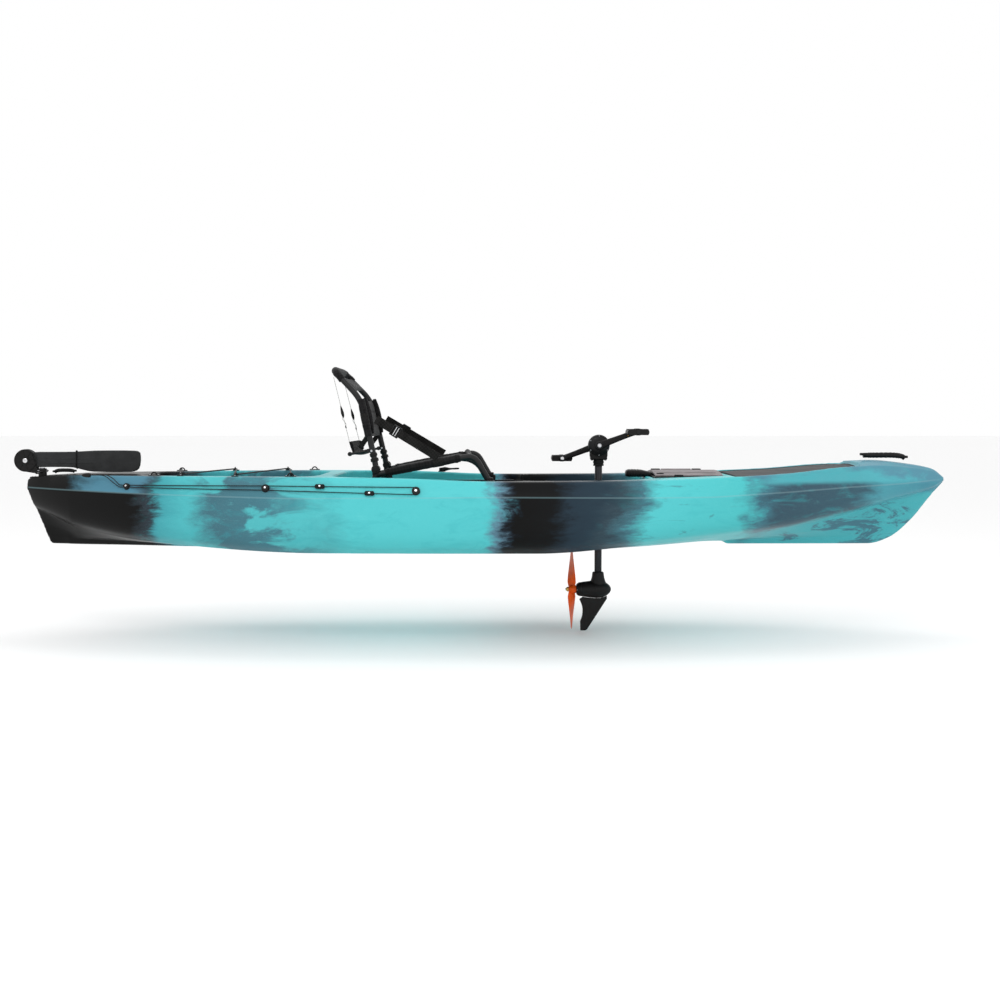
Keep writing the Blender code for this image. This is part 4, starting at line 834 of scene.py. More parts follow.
def make_studio():
    """White floor and background, three soft lights and a side-on camera."""
    floor_finish = Graph("studio_floor").finish(Base_Color=(0.95, 0.95, 0.95, 1), Roughness=0.9)
    corners = [(x * FLOOR_HALF, y * FLOOR_HALF, FLOOR_Z) for x, y in ((-1, -1), (1, -1), (1, 1), (-1, 1))]
    floor = mesh_object("studio_floor", corners, [(0, 1, 2, 3)], floor_finish)
    world = bpy.data.worlds.new("studio")
    world.use_nodes = True
    backdrop = world.node_tree.nodes["Background"].inputs
    backdrop["Color"].default_value = (1.0, 1.0, 1.0, 1)
    backdrop["Strength"].default_value = 1.0
    scene.world = world
    lamps = (("key", (-1.8, -4.2, 4.4), (0.0, 0.0, 0.1), (4.5, 1.6), 60),
             ("fill", (3.6, -3.4, 1.6), (0.2, 0.0, 0.2), (2.5, 1.6), 14),
             ("top", (0.2, 1.2, 4.2), (0.0, 0.1, 0.2), (5.0, 1.4), 30))
    for name, place, look, size, watts in lamps:
        data = bpy.data.lights.new(name, "AREA")
        data.shape = "RECTANGLE"
        data.size, data.size_y = size
        data.energy = watts
        lamp = link(bpy.data.objects.new(name, data))
        lamp.location = place
        lamp.rotation_euler = (Vector(look) - Vector(place)).to_track_quat("-Z", "Y").to_euler()
    data = bpy.data.cameras.new("camera")
    data.lens = CAMERA_LENS
    data.sensor_width = 36
    camera = link(bpy.data.objects.new("camera", data))
    camera.location = CAMERA_AT
    camera.rotation_euler = (radians(90 - CAMERA_DOWN), 0, 0)
    scene.camera = camera
    scene.view_settings.view_transform = "Standard"


make_studio()
make_hull()


# ---------------------------------------------------------------- finishes

BLACK_TUBE = powder_coat("powder_coat_black")
BLACK_PLASTIC = moulded("moulded_black", (22, 21, 21), 0.42, 480.0, 0.0004, 0.14)
FINE_PLASTIC = moulded("moulded_satin", (28, 28, 29), 0.32, 700.0, 0.0002, 0.12)
GREY_PLASTIC = moulded("moulded_grey", (124, 116, 118), 0.46, 420.0, 0.0004, 0.35)
CHARCOAL = moulded("moulded_charcoal", (46, 47, 48), 0.55, 300.0, 0.0005, 0.2)
ORANGE = moulded("moulded_orange", (226, 84, 10), 0.3, 800.0, 0.0002, 0.25)
AMBER = moulded("reflector_amber", (226, 160, 30), 0.2, 260.0, 0.0006, 0.1)
RUBBER = moulded("rubber_black", (22, 22, 22), 0.7, 500.0, 0.0003, 0.2)
STEEL = metal("stainless_steel_turned", (205, 206, 210), 0.26)
BRIGHT_STEEL = metal("polished_steel", (238, 238, 240), 0.14)
BRASS = metal("brass_turned", (212, 170, 96), 0.28)
ALLOY = metal("anodised_black", (52, 52, 55), 0.34, 0.85, (30, 700, 700))
MESH_CLOTH = woven("mesh_cloth", (25, 25, 27), 0.0034, (0.0, 0.0, 0.0), 0.08, 1.0)
PAD_CLOTH = woven("pad_cloth", (27, 26, 27), 0.0024, (0.3, 0.2, 0.1), 0.1, 1.05)
WEBBING = woven("webbing_black", (29, 28, 27), 0.002, (0.0, 0.7, 0.0), 0.1, 1.05)
PIPING = woven("binding_tape", (22, 22, 23), 0.0014, (0.5, 0.5, 0.0), 0.1, 1.0)
CORD = woven("braided_cord", (30, 31, 33), 0.0012, (0.8, 0.6, 0.4), 0.2, 1.1)
PALE_CORD = woven("pale_cord", (176, 176, 172), 0.001, (0.8, 0.6, 0.4), 0.2, 1.1)

# ---------------------------------------------------------------- seat

SEAT_HALF = 0.26
SEAT_TUBE_R = 0.0125
HINGE = (-0.43, 0.33)
BACK_TUBE_R = 0.0115
RACK_HINGE = (-0.4625, 0.401)
SEAT_REAR = (-0.432, 0.309)
SEAT_FRONT = (-0.048, 0.384)
RAIL_TOP = 0.2653
POST_FOOT_HALF = 0.233
POST_LEAN = 0.2045
POST_WAY = Vector((-POST_LEAN, 0, 1)).normalized()
SIDES = ((1, "port"), (-1, "starboard"))


def side_tube_path(y, steps=10):
    """Centre line of a seat side tube, from foot to foot."""
    (rear_x, rear_z), (front_x, front_z) = SEAT_REAR, SEAT_FRONT
    return bent([(rear_x, y, 0.283), (rear_x, y, rear_z), (front_x, y, front_z), (0.01, y, 0.283)], 0.035,
                steps)


def seat_line(x):
    """Height of the side tube's centre along the seat."""
    (rear_x, rear_z), (front_x, front_z) = SEAT_REAR, SEAT_FRONT
    return rear_z + (front_z - rear_z) * (x - rear_x) / (front_x - rear_x)


def strip(name, path, normals, half, thick, finish, edge=0.35):
    """Flat webbing along a path, a little thicker down its middle than at its selvedges."""
    rings = []
    path = [Vector(p) for p in path]
    for i, point in enumerate(path):
        ahead = (path[min(i + 1, len(path) - 1)] - path[max(i - 1, 0)]).normalized()
        out = Vector(normals[i]).normalized()
        side = ahead.cross(out).normalized()
        out = side.cross(ahead).normalized()
        shape = ((-1, edge), (-0.92, 0.8), (-0.5, 1.0), (0, 1.0), (0.5, 1.0), (0.92, 0.8), (1, edge))
        ring = [point + side * half * a + out * thick * b for a, b in shape]
        ring += [point + side * half * a - out * thick * b for a, b in reversed(shape)]
        rings.append(ring)
    return loft(name, rings, finish, smooth=60)


def make_seat_frame():
    """Side tubes with their feet and hinge lugs, cross tubes and front gussets."""
    parts = []
    for side in (1, -1):
        y = side * SEAT_HALF
        parts.append(tube("side_tube", side_tube_path(y), SEAT_TUBE_R, BLACK_TUBE, 24))
        low_y, high_y = sorted((y - side * 0.006, y + side * 0.028))
        for foot_x in (-0.014, -0.456):
            foot = block("foot", (foot_x, low_y, RAIL_TOP), (foot_x + 0.048, high_y, 0.287), BLACK_PLASTIC)
            parts.append(rounded(foot, 0.004))
            cap = turned("foot_collar", disc_profile(0.0165, 0.281, 0.298, 0.003), "Z",
                         (foot_x + 0.024, y, 0), BLACK_PLASTIC, 28)
            parts.append(cap)
        parts.append(turned("hinge_stub", disc_profile(0.0045, -0.019, 0.019, 0.0008), "Y",
                            (HINGE[0], side * 0.2415, HINGE[1]), STEEL, 20))
        for sign in (-1, 1):
            parts.append(turned("hinge_head", disc_profile(0.0095, -0.0022, 0.0022, 0.0012), "Y",
                                (HINGE[0], side * (SEAT_HALF + sign * 0.0142), HINGE[1]), BLACK_PLASTIC, 24))
        lug = plate("hinge_lug", disc_points(*HINGE, 0.017, steps=18), side * SEAT_HALF - 0.0148,
                    side * SEAT_HALF + 0.0148, BLACK_PLASTIC)
        parts.append(rounded(lug, 0.0025))
        stem = block("hinge_stem", (HINGE[0] - 0.013, side * SEAT_HALF - 0.0125, SEAT_REAR[1] - 0.002),
                     (HINGE[0] + 0.013, side * SEAT_HALF + 0.0125, HINGE[1]), BLACK_PLASTIC)
        parts.append(rounded(stem, 0.0025))
    for x, z in ((SEAT_REAR[0], 0.3), (-0.078, 0.3775)):
        parts.append(tube("cross_tube", [(x, -SEAT_HALF, z), (x, -0.1, z), (x, 0.1, z), (x, SEAT_HALF, z)],
                          0.01, BLACK_TUBE, 20))
    for y in (-0.17, 0.17):
        grommet = turned("tube_plug", disc_profile(0.006, -0.012, 0.012, 0.001), "Z", (-0.078, y, 0.3775),
                         STEEL, 16)
        parts.append(grommet)
    frame_piece = join("seat_tubes", parts)
    piece(frame_piece, "seat", "black_alloy", "seat_base_frame")
    for side, word in SIDES:
        y = side * (SEAT_HALF - 0.002)
        path = curved([(-0.098, y, 0.3695), (-0.07, y, 0.366), (-0.044, y, 0.354), (-0.024, y, 0.334),
                       (-0.012, y, 0.314)], 6)
        gusset = tube(f"front_gusset_{word}", path, 0.0062, BLACK_TUBE, 14, 1.5)
        piece(gusset, "seat", "black_alloy")
    make_knobs()


def make_knobs():
    """Rail clamp knobs with six lobes and a threaded stem."""
    rows = ((0.006, 0.0115, 0.001), (0.0072, 0.0132, 0.0016), (0.01, 0.0138, 0.0018),
            (0.0165, 0.0122, 0.0015), (0.0182, 0.0108, 0.001), (0.0185, 0.009, 0.0))
    for side, word in SIDES:
        centre = Vector((0.01, side * (SEAT_HALF + 0.0283), 0.2755))
        steps = 60
        rings = []
        for out, radius, lobe in rows:
            ring = []
            for i in range(steps):
                a = 2 * pi * i / steps
                r = radius + lobe * cos(6 * a)
                ring.append(centre + Vector((r * cos(a), side * out, r * sin(a))))
            rings.append(ring)
        head = loft("knob_head", rings, BLACK_PLASTIC, smooth=50)
        stem = turned("knob_stem", disc_profile(0.0048, 0.0003 if side > 0 else -0.007,
                                                0.007 if side > 0 else -0.0003, 0.0006),
                      "Y", centre, STEEL, 20)
        cap = turned("knob_cap", disc_profile(0.0055, 0.0182 if side > 0 else -0.019,
                                              0.019 if side > 0 else -0.0182, 0.0003),
                     "Y", centre, STEEL, 24)
        knob = join(f"rail_knob_{word}_fine", [head, stem, cap])
        piece(knob, f"{word}_knob", "black_plastic", f"rail_knob_{word}")


def sagging_pad(name, rows, thickness, finish, across=44, pillow=0.004, channels=3):
    """Padded panel: rows are (middle point, half width, sag, normal); its rim is thin and its body full."""
    rings = []
    count = len(rows)
    for i, (middle, half, sag, normal) in enumerate(rows):
        v = i / (count - 1)
        rim_v = min(1.0, min(v, 1 - v) * 9)
        front, back = [], []
        for k in range(across + 1):
            u = -1 + 2 * k / across
            rim = min(1.0, (1 - abs(u)) * 9) * rim_v
            full = 0.35 + 0.65 * (1 - (1 - rim) ** 2) ** 0.5
            groove = 1.0
            if channels:
                lane = abs((((v * channels) + 0.5) % 1.0) - 0.5)
                fade = min(1.0, max(0.0, (0.93 - abs(u)) * 12))
                groove = 1 - 0.55 * max(0.0, 1 - lane / 0.045) * fade
            drop = sag * (1 - u * u)
            base = middle + Vector((0, half * u, 0)) - normal * drop
            swell = pillow * (1 - u * u) ** 0.5 * rim_v
            front.append(base + normal * ((thickness * 0.5 + swell) * full * groove))
            back.append(base - normal * thickness * 0.5 * full)
        rings.append(front + list(reversed(back)))
    return loft(name, rings, finish, smooth=55)


def make_seat_pad():
    """Seat base: spacer mesh over the frame, with sleeves round the side tubes."""
    lean = atan2(seat_line(0.0) - seat_line(-1.0), 1.0)
    normal = Vector((-sin(lean), 0, cos(lean)))
    rows = []
    steps = 30
    for i in range(steps + 1):
        t = i / steps
        x = -0.385 + 0.3 * t
        fall = 0.02 * max(0.0, t - 0.85) / 0.15
        middle = Vector((x, 0, seat_line(x) + 0.004 - fall * 0.25))
        rows.append((middle, 0.243, 0.018 * sin(pi * (0.1 + 0.8 * t)), normal))
    pad = sagging_pad("seat_pad", rows, 0.009, PAD_CLOTH, pillow=0.0035, channels=4)
    sleeves = [pad]
    for side in (1, -1):
        y = side * SEAT_HALF
        path = [Vector((x, y, seat_line(x))) for x in (-0.392 + 0.29 * i / 20 for i in range(21))]
        radii = [0.0148 + 0.0012 * sin(pi * i / 20) + 0.0005 * sin(i * 2.4) for i in range(21)]
        sleeves.append(tube("sleeve", path, radii, PAD_CLOTH, 24))
        for x in (-0.385, -0.3, -0.21, -0.12):
            ring_path = [Vector((x, y, seat_line(x))), Vector((x + 0.007, y, seat_line(x + 0.007)))]
            sleeves.append(tube("stitch_band", ring_path, 0.0166, PIPING, 24))
        hem = []
        for i in range(21):
            x = -0.385 + 0.285 * i / 20
            z = seat_line(x) + 0.0045
            inner, outer = side * 0.236, side * 0.256
            hem.append([(x, inner, z + 0.003), (x, outer, z + 0.0075), (x, outer, z + 0.001),
                        (x, inner, z - 0.003)])
        sleeves.append(loft("hem", hem, PAD_CLOTH))
    whole = join("seat_base_cover", sleeves)
    piece(whole, "seat", "mesh_fabric", "seat_panel")
    path = curved([(-0.085, -0.235, 0.385), (-0.081, -0.12, 0.3785), (-0.079, 0.0, 0.375),
                   (-0.081, 0.12, 0.3785), (-0.085, 0.235, 0.385)], 8)
    front = tube("front_roll", path, 0.0125, PAD_CLOTH, 18)
    piece(front, "seat", "mesh_fabric")


def back_centre(t):
    """Middle of the back panel from its foot (t = 0) to its top, with the way it faces."""
    points = [Vector((-0.4395, 0, 0.372)), Vector((-0.46, 0, 0.47)), Vector((-0.49, 0, 0.6)),
              Vector((-0.525, 0, 0.648)), Vector((-0.578, 0, 0.693))]
    path = curved(points, 12)
    at = t * (len(path) - 1)
    i = min(int(at), len(path) - 2)
    here = path[i].lerp(path[i + 1], at - i)
    ahead = (path[min(i + 2, len(path) - 1)] - path[max(i - 1, 0)]).normalized()
    return here, Vector((ahead.z, 0, -ahead.x))


def post_half(z):
    """Half distance between the posts at a height."""
    low, mid, top = (0.33, POST_FOOT_HALF), (0.6, 0.214), (0.716, 0.172)
    if z < mid[0]:
        return low[1] + (mid[1] - low[1]) * (z - low[0]) / (mid[0] - low[0])
    return mid[1] + (top[1] - mid[1]) * (z - mid[0]) / (top[0] - mid[0])


def post_x(z):
    """Place of a back post along the boat at a height."""
    return -0.441 - (z - 0.36) * POST_LEAN


def back_path(side):
    """Corners of one back post, from its foot to the top bar."""
    return [(HINGE[0], side * POST_FOOT_HALF, HINGE[1] - 0.012),
            (HINGE[0] - 0.006, side * 0.2325, HINGE[1] + 0.03),
            (-0.49, side * 0.214, 0.6), (-0.6, side * 0.172, 0.716)]


def make_back_frame():
    """Bent back tube with its hinge eyes, knuckles, rack pins and bands."""
    ends = [back_path(1), back_path(-1)]
    path = bent([*ends[0], *reversed(ends[1])], 0.05, 14)
    parts = [tube("back_tube", path, BACK_TUBE_R, BLACK_TUBE, 24)]
    for side in (1, -1):
        foot = Vector((HINGE[0], side * POST_FOOT_HALF, HINGE[1]))
        eye = disc_points(foot.x, foot.z, 0.0155, steps=18)
        parts.append(rounded(plate("hinge_eye", eye, foot.y - 0.0118, foot.y + 0.0118, BLACK_PLASTIC), 0.002))
        for z, size in ((0.366, 0.016), (0.386, 0.015)):
            x = -0.436 - (z - 0.36) * 0.225
            tilt = Vector((-0.225, 0, 1)).normalized()
            parts.append(turned("knuckle", disc_profile(size, -0.0065, 0.0065, 0.0022), tilt,
                                (x, side * post_half(z), z), BLACK_PLASTIC, 28))
        parts.append(turned("rack_pin", disc_profile(0.0045, -0.018, 0.018, 0.001), "Y",
                            (RACK_HINGE[0] + 0.014, side * 0.229, RACK_HINGE[1]), STEEL, 18))
        for z in (0.47, 0.585):
            parts.append(turned("post_band", disc_profile(0.0138, -0.009, 0.009, 0.0015), POST_WAY,
                                (post_x(z), side * post_half(z), z), PIPING, 24))
    whole = join("back_tubes", parts)
    piece(whole, "seat_back", "black_alloy", "seat_back_frame")


def rows_of_back(low_z, high_z, steps, inset, sag):
    """Rows of a back panel between two heights, for sagging_pad."""
    table = [back_centre(k / 200) for k in range(201)]
    rows = []
    for i in range(steps + 1):
        z = low_z + (high_z - low_z) * i / steps
        here, normal = min(table, key=lambda row: abs(row[0].z - z))
        rows.append((here, post_half(z) - inset, sag, normal))
    return rows


def make_back_cover():
    """Padded lower panel and headrest panel, laced to the posts, with bolsters at the sides."""
    low, high = 0.456, 0.602
    lower = sagging_pad("back_panel", rows_of_back(low, high, 40, 0.012, 0.011), 0.011, PAD_CLOTH,
                        pillow=0.005, channels=3)
    piece(lower, "seat_back", "mesh_fabric", "seat_back_panel")
    upper = sagging_pad("head_panel", rows_of_back(0.646, 0.69, 16, 0.014, 0.007), 0.01, PAD_CLOTH,
                        pillow=0.005, channels=0)
    piece(upper, "seat_back", "mesh_fabric")
    wraps = []
    for side in (1, -1):
        heights = [low + (high - low) * i / 16 for i in range(17)]
        path = [(post_x(z), side * post_half(z), z) for z in heights]
        radii = [0.0142 + 0.0016 * sin(pi * i / 16) + 0.0005 * sin(i * 1.7) for i in range(17)]
        wraps.append(tube("wrap", path, radii, PAD_CLOTH, 24))
        bolster = []
        for i in range(15):
            z = 0.468 + 0.14 * i / 14
            bolster.append((-0.4255 - (z - 0.36) * POST_LEAN, side * (post_half(z) - 0.016), z))
        radii = [0.0125 * max(0.25, sin(pi * (0.06 + 0.88 * i / 14))) ** 0.5 for i in range(15)]
        wraps.append(tube("bolster", bolster, radii, PAD_CLOTH, 24, 1.25))
    top = bent([*back_path(1)[2:], *reversed(back_path(-1)[2:])], 0.05, 14)
    top = [p for p in top if p.z > 0.648]
    radii = [0.015 + 0.0008 * sin(i * 0.9) for i in range(len(top))]
    wraps.append(tube("top_sleeve", top, radii, PAD_CLOTH, 22))
    whole = join("back_sleeves", wraps)
    piece(whole, "seat_back", "mesh_fabric")


def make_straps():
    """Broad webbing from the back posts to the side tubes, with its ladder-lock buckle."""
    for side, word in SIDES:
        start = Vector((-0.431, side * 0.235, 0.5245))
        end = Vector((-0.1865, side * 0.2765, 0.377))
        run = (end - start).normalized()
        out = Vector((0, side, 0))
        steps = 28
        path, normals = [], []
        for i in range(steps + 1):
            t = i / steps
            belly = 0.004 * sin(pi * t)
            path.append(start.lerp(end, t) + out * belly * 0.3)
            normals.append(out)
        loops = [strip("strap", path, normals, 0.0165, 0.0011, WEBBING)]
        round_post = Vector((-0.4755, side * post_half(0.529), 0.529)), 0.0158, POST_WAY, 0.018
        round_tube = (Vector((-0.186, side * 0.26, seat_line(-0.186))), 0.0168,
                      Vector((1, 0, 0.19)).normalized(), 0.019)
        for centre, radius, way, tall in (round_post, round_tube):
            loops.append(tube("loop", [centre - way * tall, centre, centre + way * tall],
                              [radius, radius * 1.02, radius], WEBBING, 28))
        across = run.cross(out).normalized()
        middle = start.lerp(end, 0.32) + out * 0.003
        for offset in (-0.0195, 0.0195):
            ends = [middle + across * offset - run * 0.0175, middle + across * offset + run * 0.0175]
            loops.append(tube("buckle_side", ends, 0.0034, FINE_PLASTIC, 14))
        for reach, radius, finish in ((-0.0165, 0.0026, FINE_PLASTIC), (-0.004, 0.0019, BRIGHT_STEEL),
                                      (0.006, 0.0019, BRIGHT_STEEL), (0.0165, 0.0026, FINE_PLASTIC)):
            ends = [middle + run * reach - across * 0.0195 + out * 0.0012,
                    middle + run * reach + across * 0.0195 + out * 0.0012]
            loops.append(tube("buckle_bar", ends, radius, finish, 12))
        tail = [start.lerp(end, t) + out * (0.0028 + 0.003 * sin(pi * (t - 0.38) / 0.3)) for t in
                (0.38 + 0.3 * i / 12 for i in range(13))]
        loops.append(strip("strap_tail", tail, [out] * 13, 0.015, 0.0009, WEBBING))
        whole = join(f"seat_strap_{word}_webbing", loops)
        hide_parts(f"seat_strap_{word}")
        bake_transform(whole)


def make_rack():
    """Folding rack: tube, net wall with its gussets, hammock, and the cords that hold it level."""
    y = 0.2
    x, z = RACK_HINGE
    path = bent([(x, y + 0.03, z), (x, y, z), (-0.54, y, 0.387), (-0.54, -y, 0.387), (x, -y, z),
                 (x, -y - 0.03, z)], 0.016, 10)
    parts = [tube("rack_tube", path, 0.005, BLACK_TUBE, 18)]
    for side in (1, -1):
        parts.append(turned("rack_clip", disc_profile(0.0085, -0.006, 0.006, 0.0015), "Y",
                            (x, side * (y + 0.022), z), BLACK_PLASTIC, 24))
        parts.append(turned("rack_corner", disc_profile(0.0085, -0.01, 0.01, 0.002), "Y",
                            (-0.5385, side * (y - 0.012), 0.3875), BLACK_PLASTIC, 24))
    whole = join("rack_tubes", parts)
    piece(whole, "gear_rack", "black_alloy", "gear_rack_frame")
    rings = []
    for i in range(13):
        t = i / 12
        yy = -0.186 + 0.372 * t
        sag = 0.004 * sin(pi * t)
        rings.append([(-0.5255, yy, 0.3945), (-0.533 - sag * 0.5, yy, 0.414), (-0.54 - sag, yy, 0.436),
                      (-0.5425 - sag, yy, 0.4357), (-0.5357 - sag * 0.5, yy, 0.4135), (-0.5285, yy, 0.394)])
    gussets = [loft("net_wall", rings, MESH_CLOTH, smooth=60)]
    for side in (1, -1):
        outline = [(-0.542, 0.4362), (-0.529, 0.433), (-0.52, 0.401), (-0.527, 0.393)]
        low, high = sorted((side * 0.1845, side * 0.187))
        gussets.append(rounded(plate("gusset", outline, low, high, MESH_CLOTH), 0.0008, 2))
    net = join("rack_net", gussets)
    piece(net, "gear_rack", "mesh_fabric", "gear_rack_net")
    floor = []
    for i in range(13):
        t = i / 12
        xx = -0.47 - 0.06 * t
        height = z + (0.387 - z) * (xx - x) / (-0.54 - x)
        row = []
        for k in range(17):
            yy = -0.192 + 0.384 * k / 16
            row.append((xx, yy, height - 0.012 * (1 - (yy / 0.192) ** 2) * sin(pi * (0.15 + 0.7 * t))))
        floor.append(row)
    mesh_rings = [row + [(a, b, c - 0.0015) for a, b, c in reversed(row)] for row in floor]
    hammock = loft("rack_hammock", mesh_rings, MESH_CLOTH, smooth=60)
    piece(hammock, "gear_rack", "mesh_fabric")
    for side, word in SIDES:
        make_rack_cord(side, word)


def make_rack_cord(side, word):
    """Thin cord from the top of the back to the rack, with its cord lock and free end."""
    top = Vector((-0.603, side * 0.168, 0.69))
    foot = Vector((-0.54, side * 0.183, 0.433))
    steps = 20
    path = [top.lerp(foot, i / steps) for i in range(steps + 1)]
    cord = tube(f"rack_cord_{word}", path, 0.0009, PALE_CORD, 8)
    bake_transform(cord)
    way = (foot - top).normalized()
    lock_at = top.lerp(foot, 0.53 if side < 0 else 0.565)
    lock = tube("lock", [lock_at + way * a for a in (-0.024, -0.018, -0.008, 0.004, 0.014, 0.021, 0.024)],
                [0.0014, 0.0028, 0.0046, 0.006, 0.0052, 0.0032, 0.0014], BLACK_PLASTIC, 20)
    tail_path = curved([lock_at + way * 0.016, lock_at + way * 0.03 + Vector((-0.005, 0, 0)),
                        lock_at + way * 0.048 + Vector((0.003, 0, 0)), lock_at + way * 0.062], 6)
    tail = tube("tail", tail_path, 0.0009, PALE_CORD, 8)
    knot = turned("knot", disc_profile(0.0024, -0.005, 0.005, 0.002), way, tail_path[-1], RUBBER, 14)
    whole = join(f"rack_cord_lock_{word}", [lock, tail, knot])
    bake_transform(whole)
    brace_top = Vector((-0.4665, side * 0.22, 0.4555))
    brace_foot = Vector((-0.498, side * 0.1985, 0.411))
    out = Vector((0, side, 0))
    brace = strip(f"rack_brace_{word}", [brace_top.lerp(brace_foot, i / 8) for i in range(9)], [out] * 9,
                  0.0098, 0.001, WEBBING)
    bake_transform(brace)


make_seat_frame()
make_seat_pad()
make_back_frame()
make_back_cover()
make_straps()
make_rack()

# ---------------------------------------------------------------- pedal drive

CRANK_X = 0.455
CRANK_Z = 0.418
CRANK_LENGTH = 0.155
CRANK_ANGLE = radians(21)
PEDAL_Y = 0.135
POD_Z = -0.172
POD_RADIUS = ((0.3855, 0.029), (0.395, 0.0306), (0.405, 0.032), (0.422, 0.0345), (0.44, 0.036),
              (0.452, 0.0362), (0.462, 0.0355), (0.473, 0.0335), (0.482, 0.03), (0.491, 0.0255),
              (0.498, 0.02), (0.503, 0.015), (0.5065, 0.0095), (0.5082, 0.005))
PROP_X = 0.347
PROP_R = 0.165
PROP_PITCH = 0.25
nodes = frame["nodes"]


def dress(finish, *names):
    """Give CAD nodes that stay as they are a finished material."""
    for name in names:
        slots = nodes[name].material_slots
        if not slots:
            nodes[name].data.materials.append(finish)
        for entry in slots:
            entry.material = finish


def bolt(x, y, z, axis, radius, high):
    """Button head with a hexagon socket."""
    head = turned("bolt", [(0.0018, -0.0002), (radius, -0.0002), (radius, high * 0.35),
                           (radius * 0.72, high * 0.85), (radius * 0.5, high), (0.0018, high)], axis,
                  (x, y, z), STEEL, 24)
    floor = turned("bolt_socket", disc_profile(0.0019, -0.0002, high * 0.35, 0.0002, 2), axis, (x, y, z),
                   RUBBER, 6)
    return [head, floor]


def make_gearbox():
    """Gearbox shell with its base and collar, and the domed cover with its bolts."""
    centre = (CRANK_X, 0, CRANK_Z)
    shell = turned("housing", [(0.0088, -0.026), (0.0425, -0.026), (0.0436, -0.0246), (0.0438, -0.012),
                               (0.0432, -0.0105), (0.0432, 0.0105), (0.043, 0.013), (0.041, 0.018),
                               (0.037, 0.0216), (0.031, 0.0234), (0.018, 0.0242), (0.0088, 0.0242)],
                   "Y", centre, BLACK_PLASTIC, 96)
    base = rounded(block("base", (CRANK_X - 0.034, -0.0262, 0.359), (CRANK_X + 0.034, 0.0237, 0.392),
                         BLACK_PLASTIC), 0.005, 4)
    parts = [shell, base]
    for side in (-1, 1):
        web = rounded(block("web", (CRANK_X + side * 0.03 - 0.006, -0.018, 0.372),
                            (CRANK_X + side * 0.03 + 0.006, 0.016, 0.412), BLACK_PLASTIC), 0.0028)
        parts.append(web)
        for y in (-0.0155, 0.013):
            parts += bolt(CRANK_X + side * 0.0275, y, 0.3588, (0, 0, -1), 0.004, 0.0026)
    collar = [(0.0153, 0.3345), (0.0205, 0.3345), (0.0218, 0.336), (0.0218, 0.3405), (0.02, 0.3415),
              (0.02, 0.344), (0.0218, 0.345), (0.0222, 0.353), (0.0205, 0.3545), (0.0205, 0.3605),
              (0.0153, 0.3605)]
    parts.append(turned("collar", collar, "Z", (CRANK_X, 0, 0), BLACK_PLASTIC, 64))
    piece(join("gearbox_shell", parts), "drive", "black_plastic", "gearbox_housing")
    dome = [(0.009, -0.0263), (0.0415, -0.0263), (0.0428, -0.0272), (0.0425, -0.0288), (0.0405, -0.0304),
            (0.0372, -0.0318), (0.0362, -0.0313), (0.0352, -0.032), (0.031, -0.0338), (0.025, -0.0354),
            (0.019, -0.0364), (0.0182, -0.0359), (0.0172, -0.0366), (0.012, -0.0374), (0.009, -0.0376)]
    cover = [turned("dome", dome, "Y", centre, FINE_PLASTIC, 96)]
    for k in range(6):
        a = radians(30 + 60 * k)
        cover += bolt(CRANK_X + 0.0385 * cos(a), -0.0305, CRANK_Z + 0.0385 * sin(a), (0, -1, 0),
                      0.0026, 0.002)
    piece(join("gearbox_dome", cover), "drive", "black_plastic", "gearbox_cover")


def make_column():
    """Drive column, and the mount plate with its spigot, socket and ribs."""
    tube_rows = [(0.0105, -0.1205), (0.0146, -0.1205), (0.015, -0.1198), (0.015, 0.3492), (0.0146, 0.35),
                 (0.0105, 0.35)]
    piece(turned("column_tube", tube_rows, "Z", (CRANK_X, 0, 0), ALLOY, 48), "drive", "black_alloy",
          "drive_column")
    low = 0.2053
    foot = rounded(block("foot", (0.289, -0.06, low), (0.552, 0.06, low + 0.011), BLACK_PLASTIC), 0.004, 4)
    spigot = rounded(block("spigot", (TRUNK[0] + 0.004, -TRUNK[2] + 0.004, low - 0.03),
                           (TRUNK[1] - 0.004, TRUNK[2] - 0.004, low + 0.003), BLACK_PLASTIC), 0.006, 4)
    socket = turned("socket", [(0.0153, low + 0.004), (0.0275, low + 0.004), (0.0262, low + 0.016),
                               (0.0235, low + 0.024), (0.023, low + 0.054), (0.0215, low + 0.06),
                               (0.0153, low + 0.06)], "Z", (CRANK_X, 0, 0), BLACK_PLASTIC, 64)
    parts = [foot, spigot, socket]
    for k in range(8):
        a = pi / 4 * k + pi / 8
        rib = [(0.022, low + 0.01), (0.04, low + 0.01), (0.0235, low + 0.042), (0.022, low + 0.042)]
        rings = [[(CRANK_X + r * cos(a) - half * sin(a), r * sin(a) + half * cos(a), z) for r, z in rib]
                 for half in (-0.0016, 0.0016)]
        parts.append(rounded(loft("rib", rings, BLACK_PLASTIC), 0.0006, 2))
    neck = block("neck", (CRANK_X - 0.1, -0.01, low + 0.005), (CRANK_X - 0.018, 0.01, low + 0.022),
                 BLACK_PLASTIC)
    parts.append(rounded(neck, 0.004, 4))
    for x in (0.302, 0.539):
        for y in (-0.046, 0.046):
            parts += bolt(x, y, low + 0.0108, "Z", 0.0056, 0.0034)
    piece(join("mount_foot", parts), "drive", "black_plastic", "mount_plate")


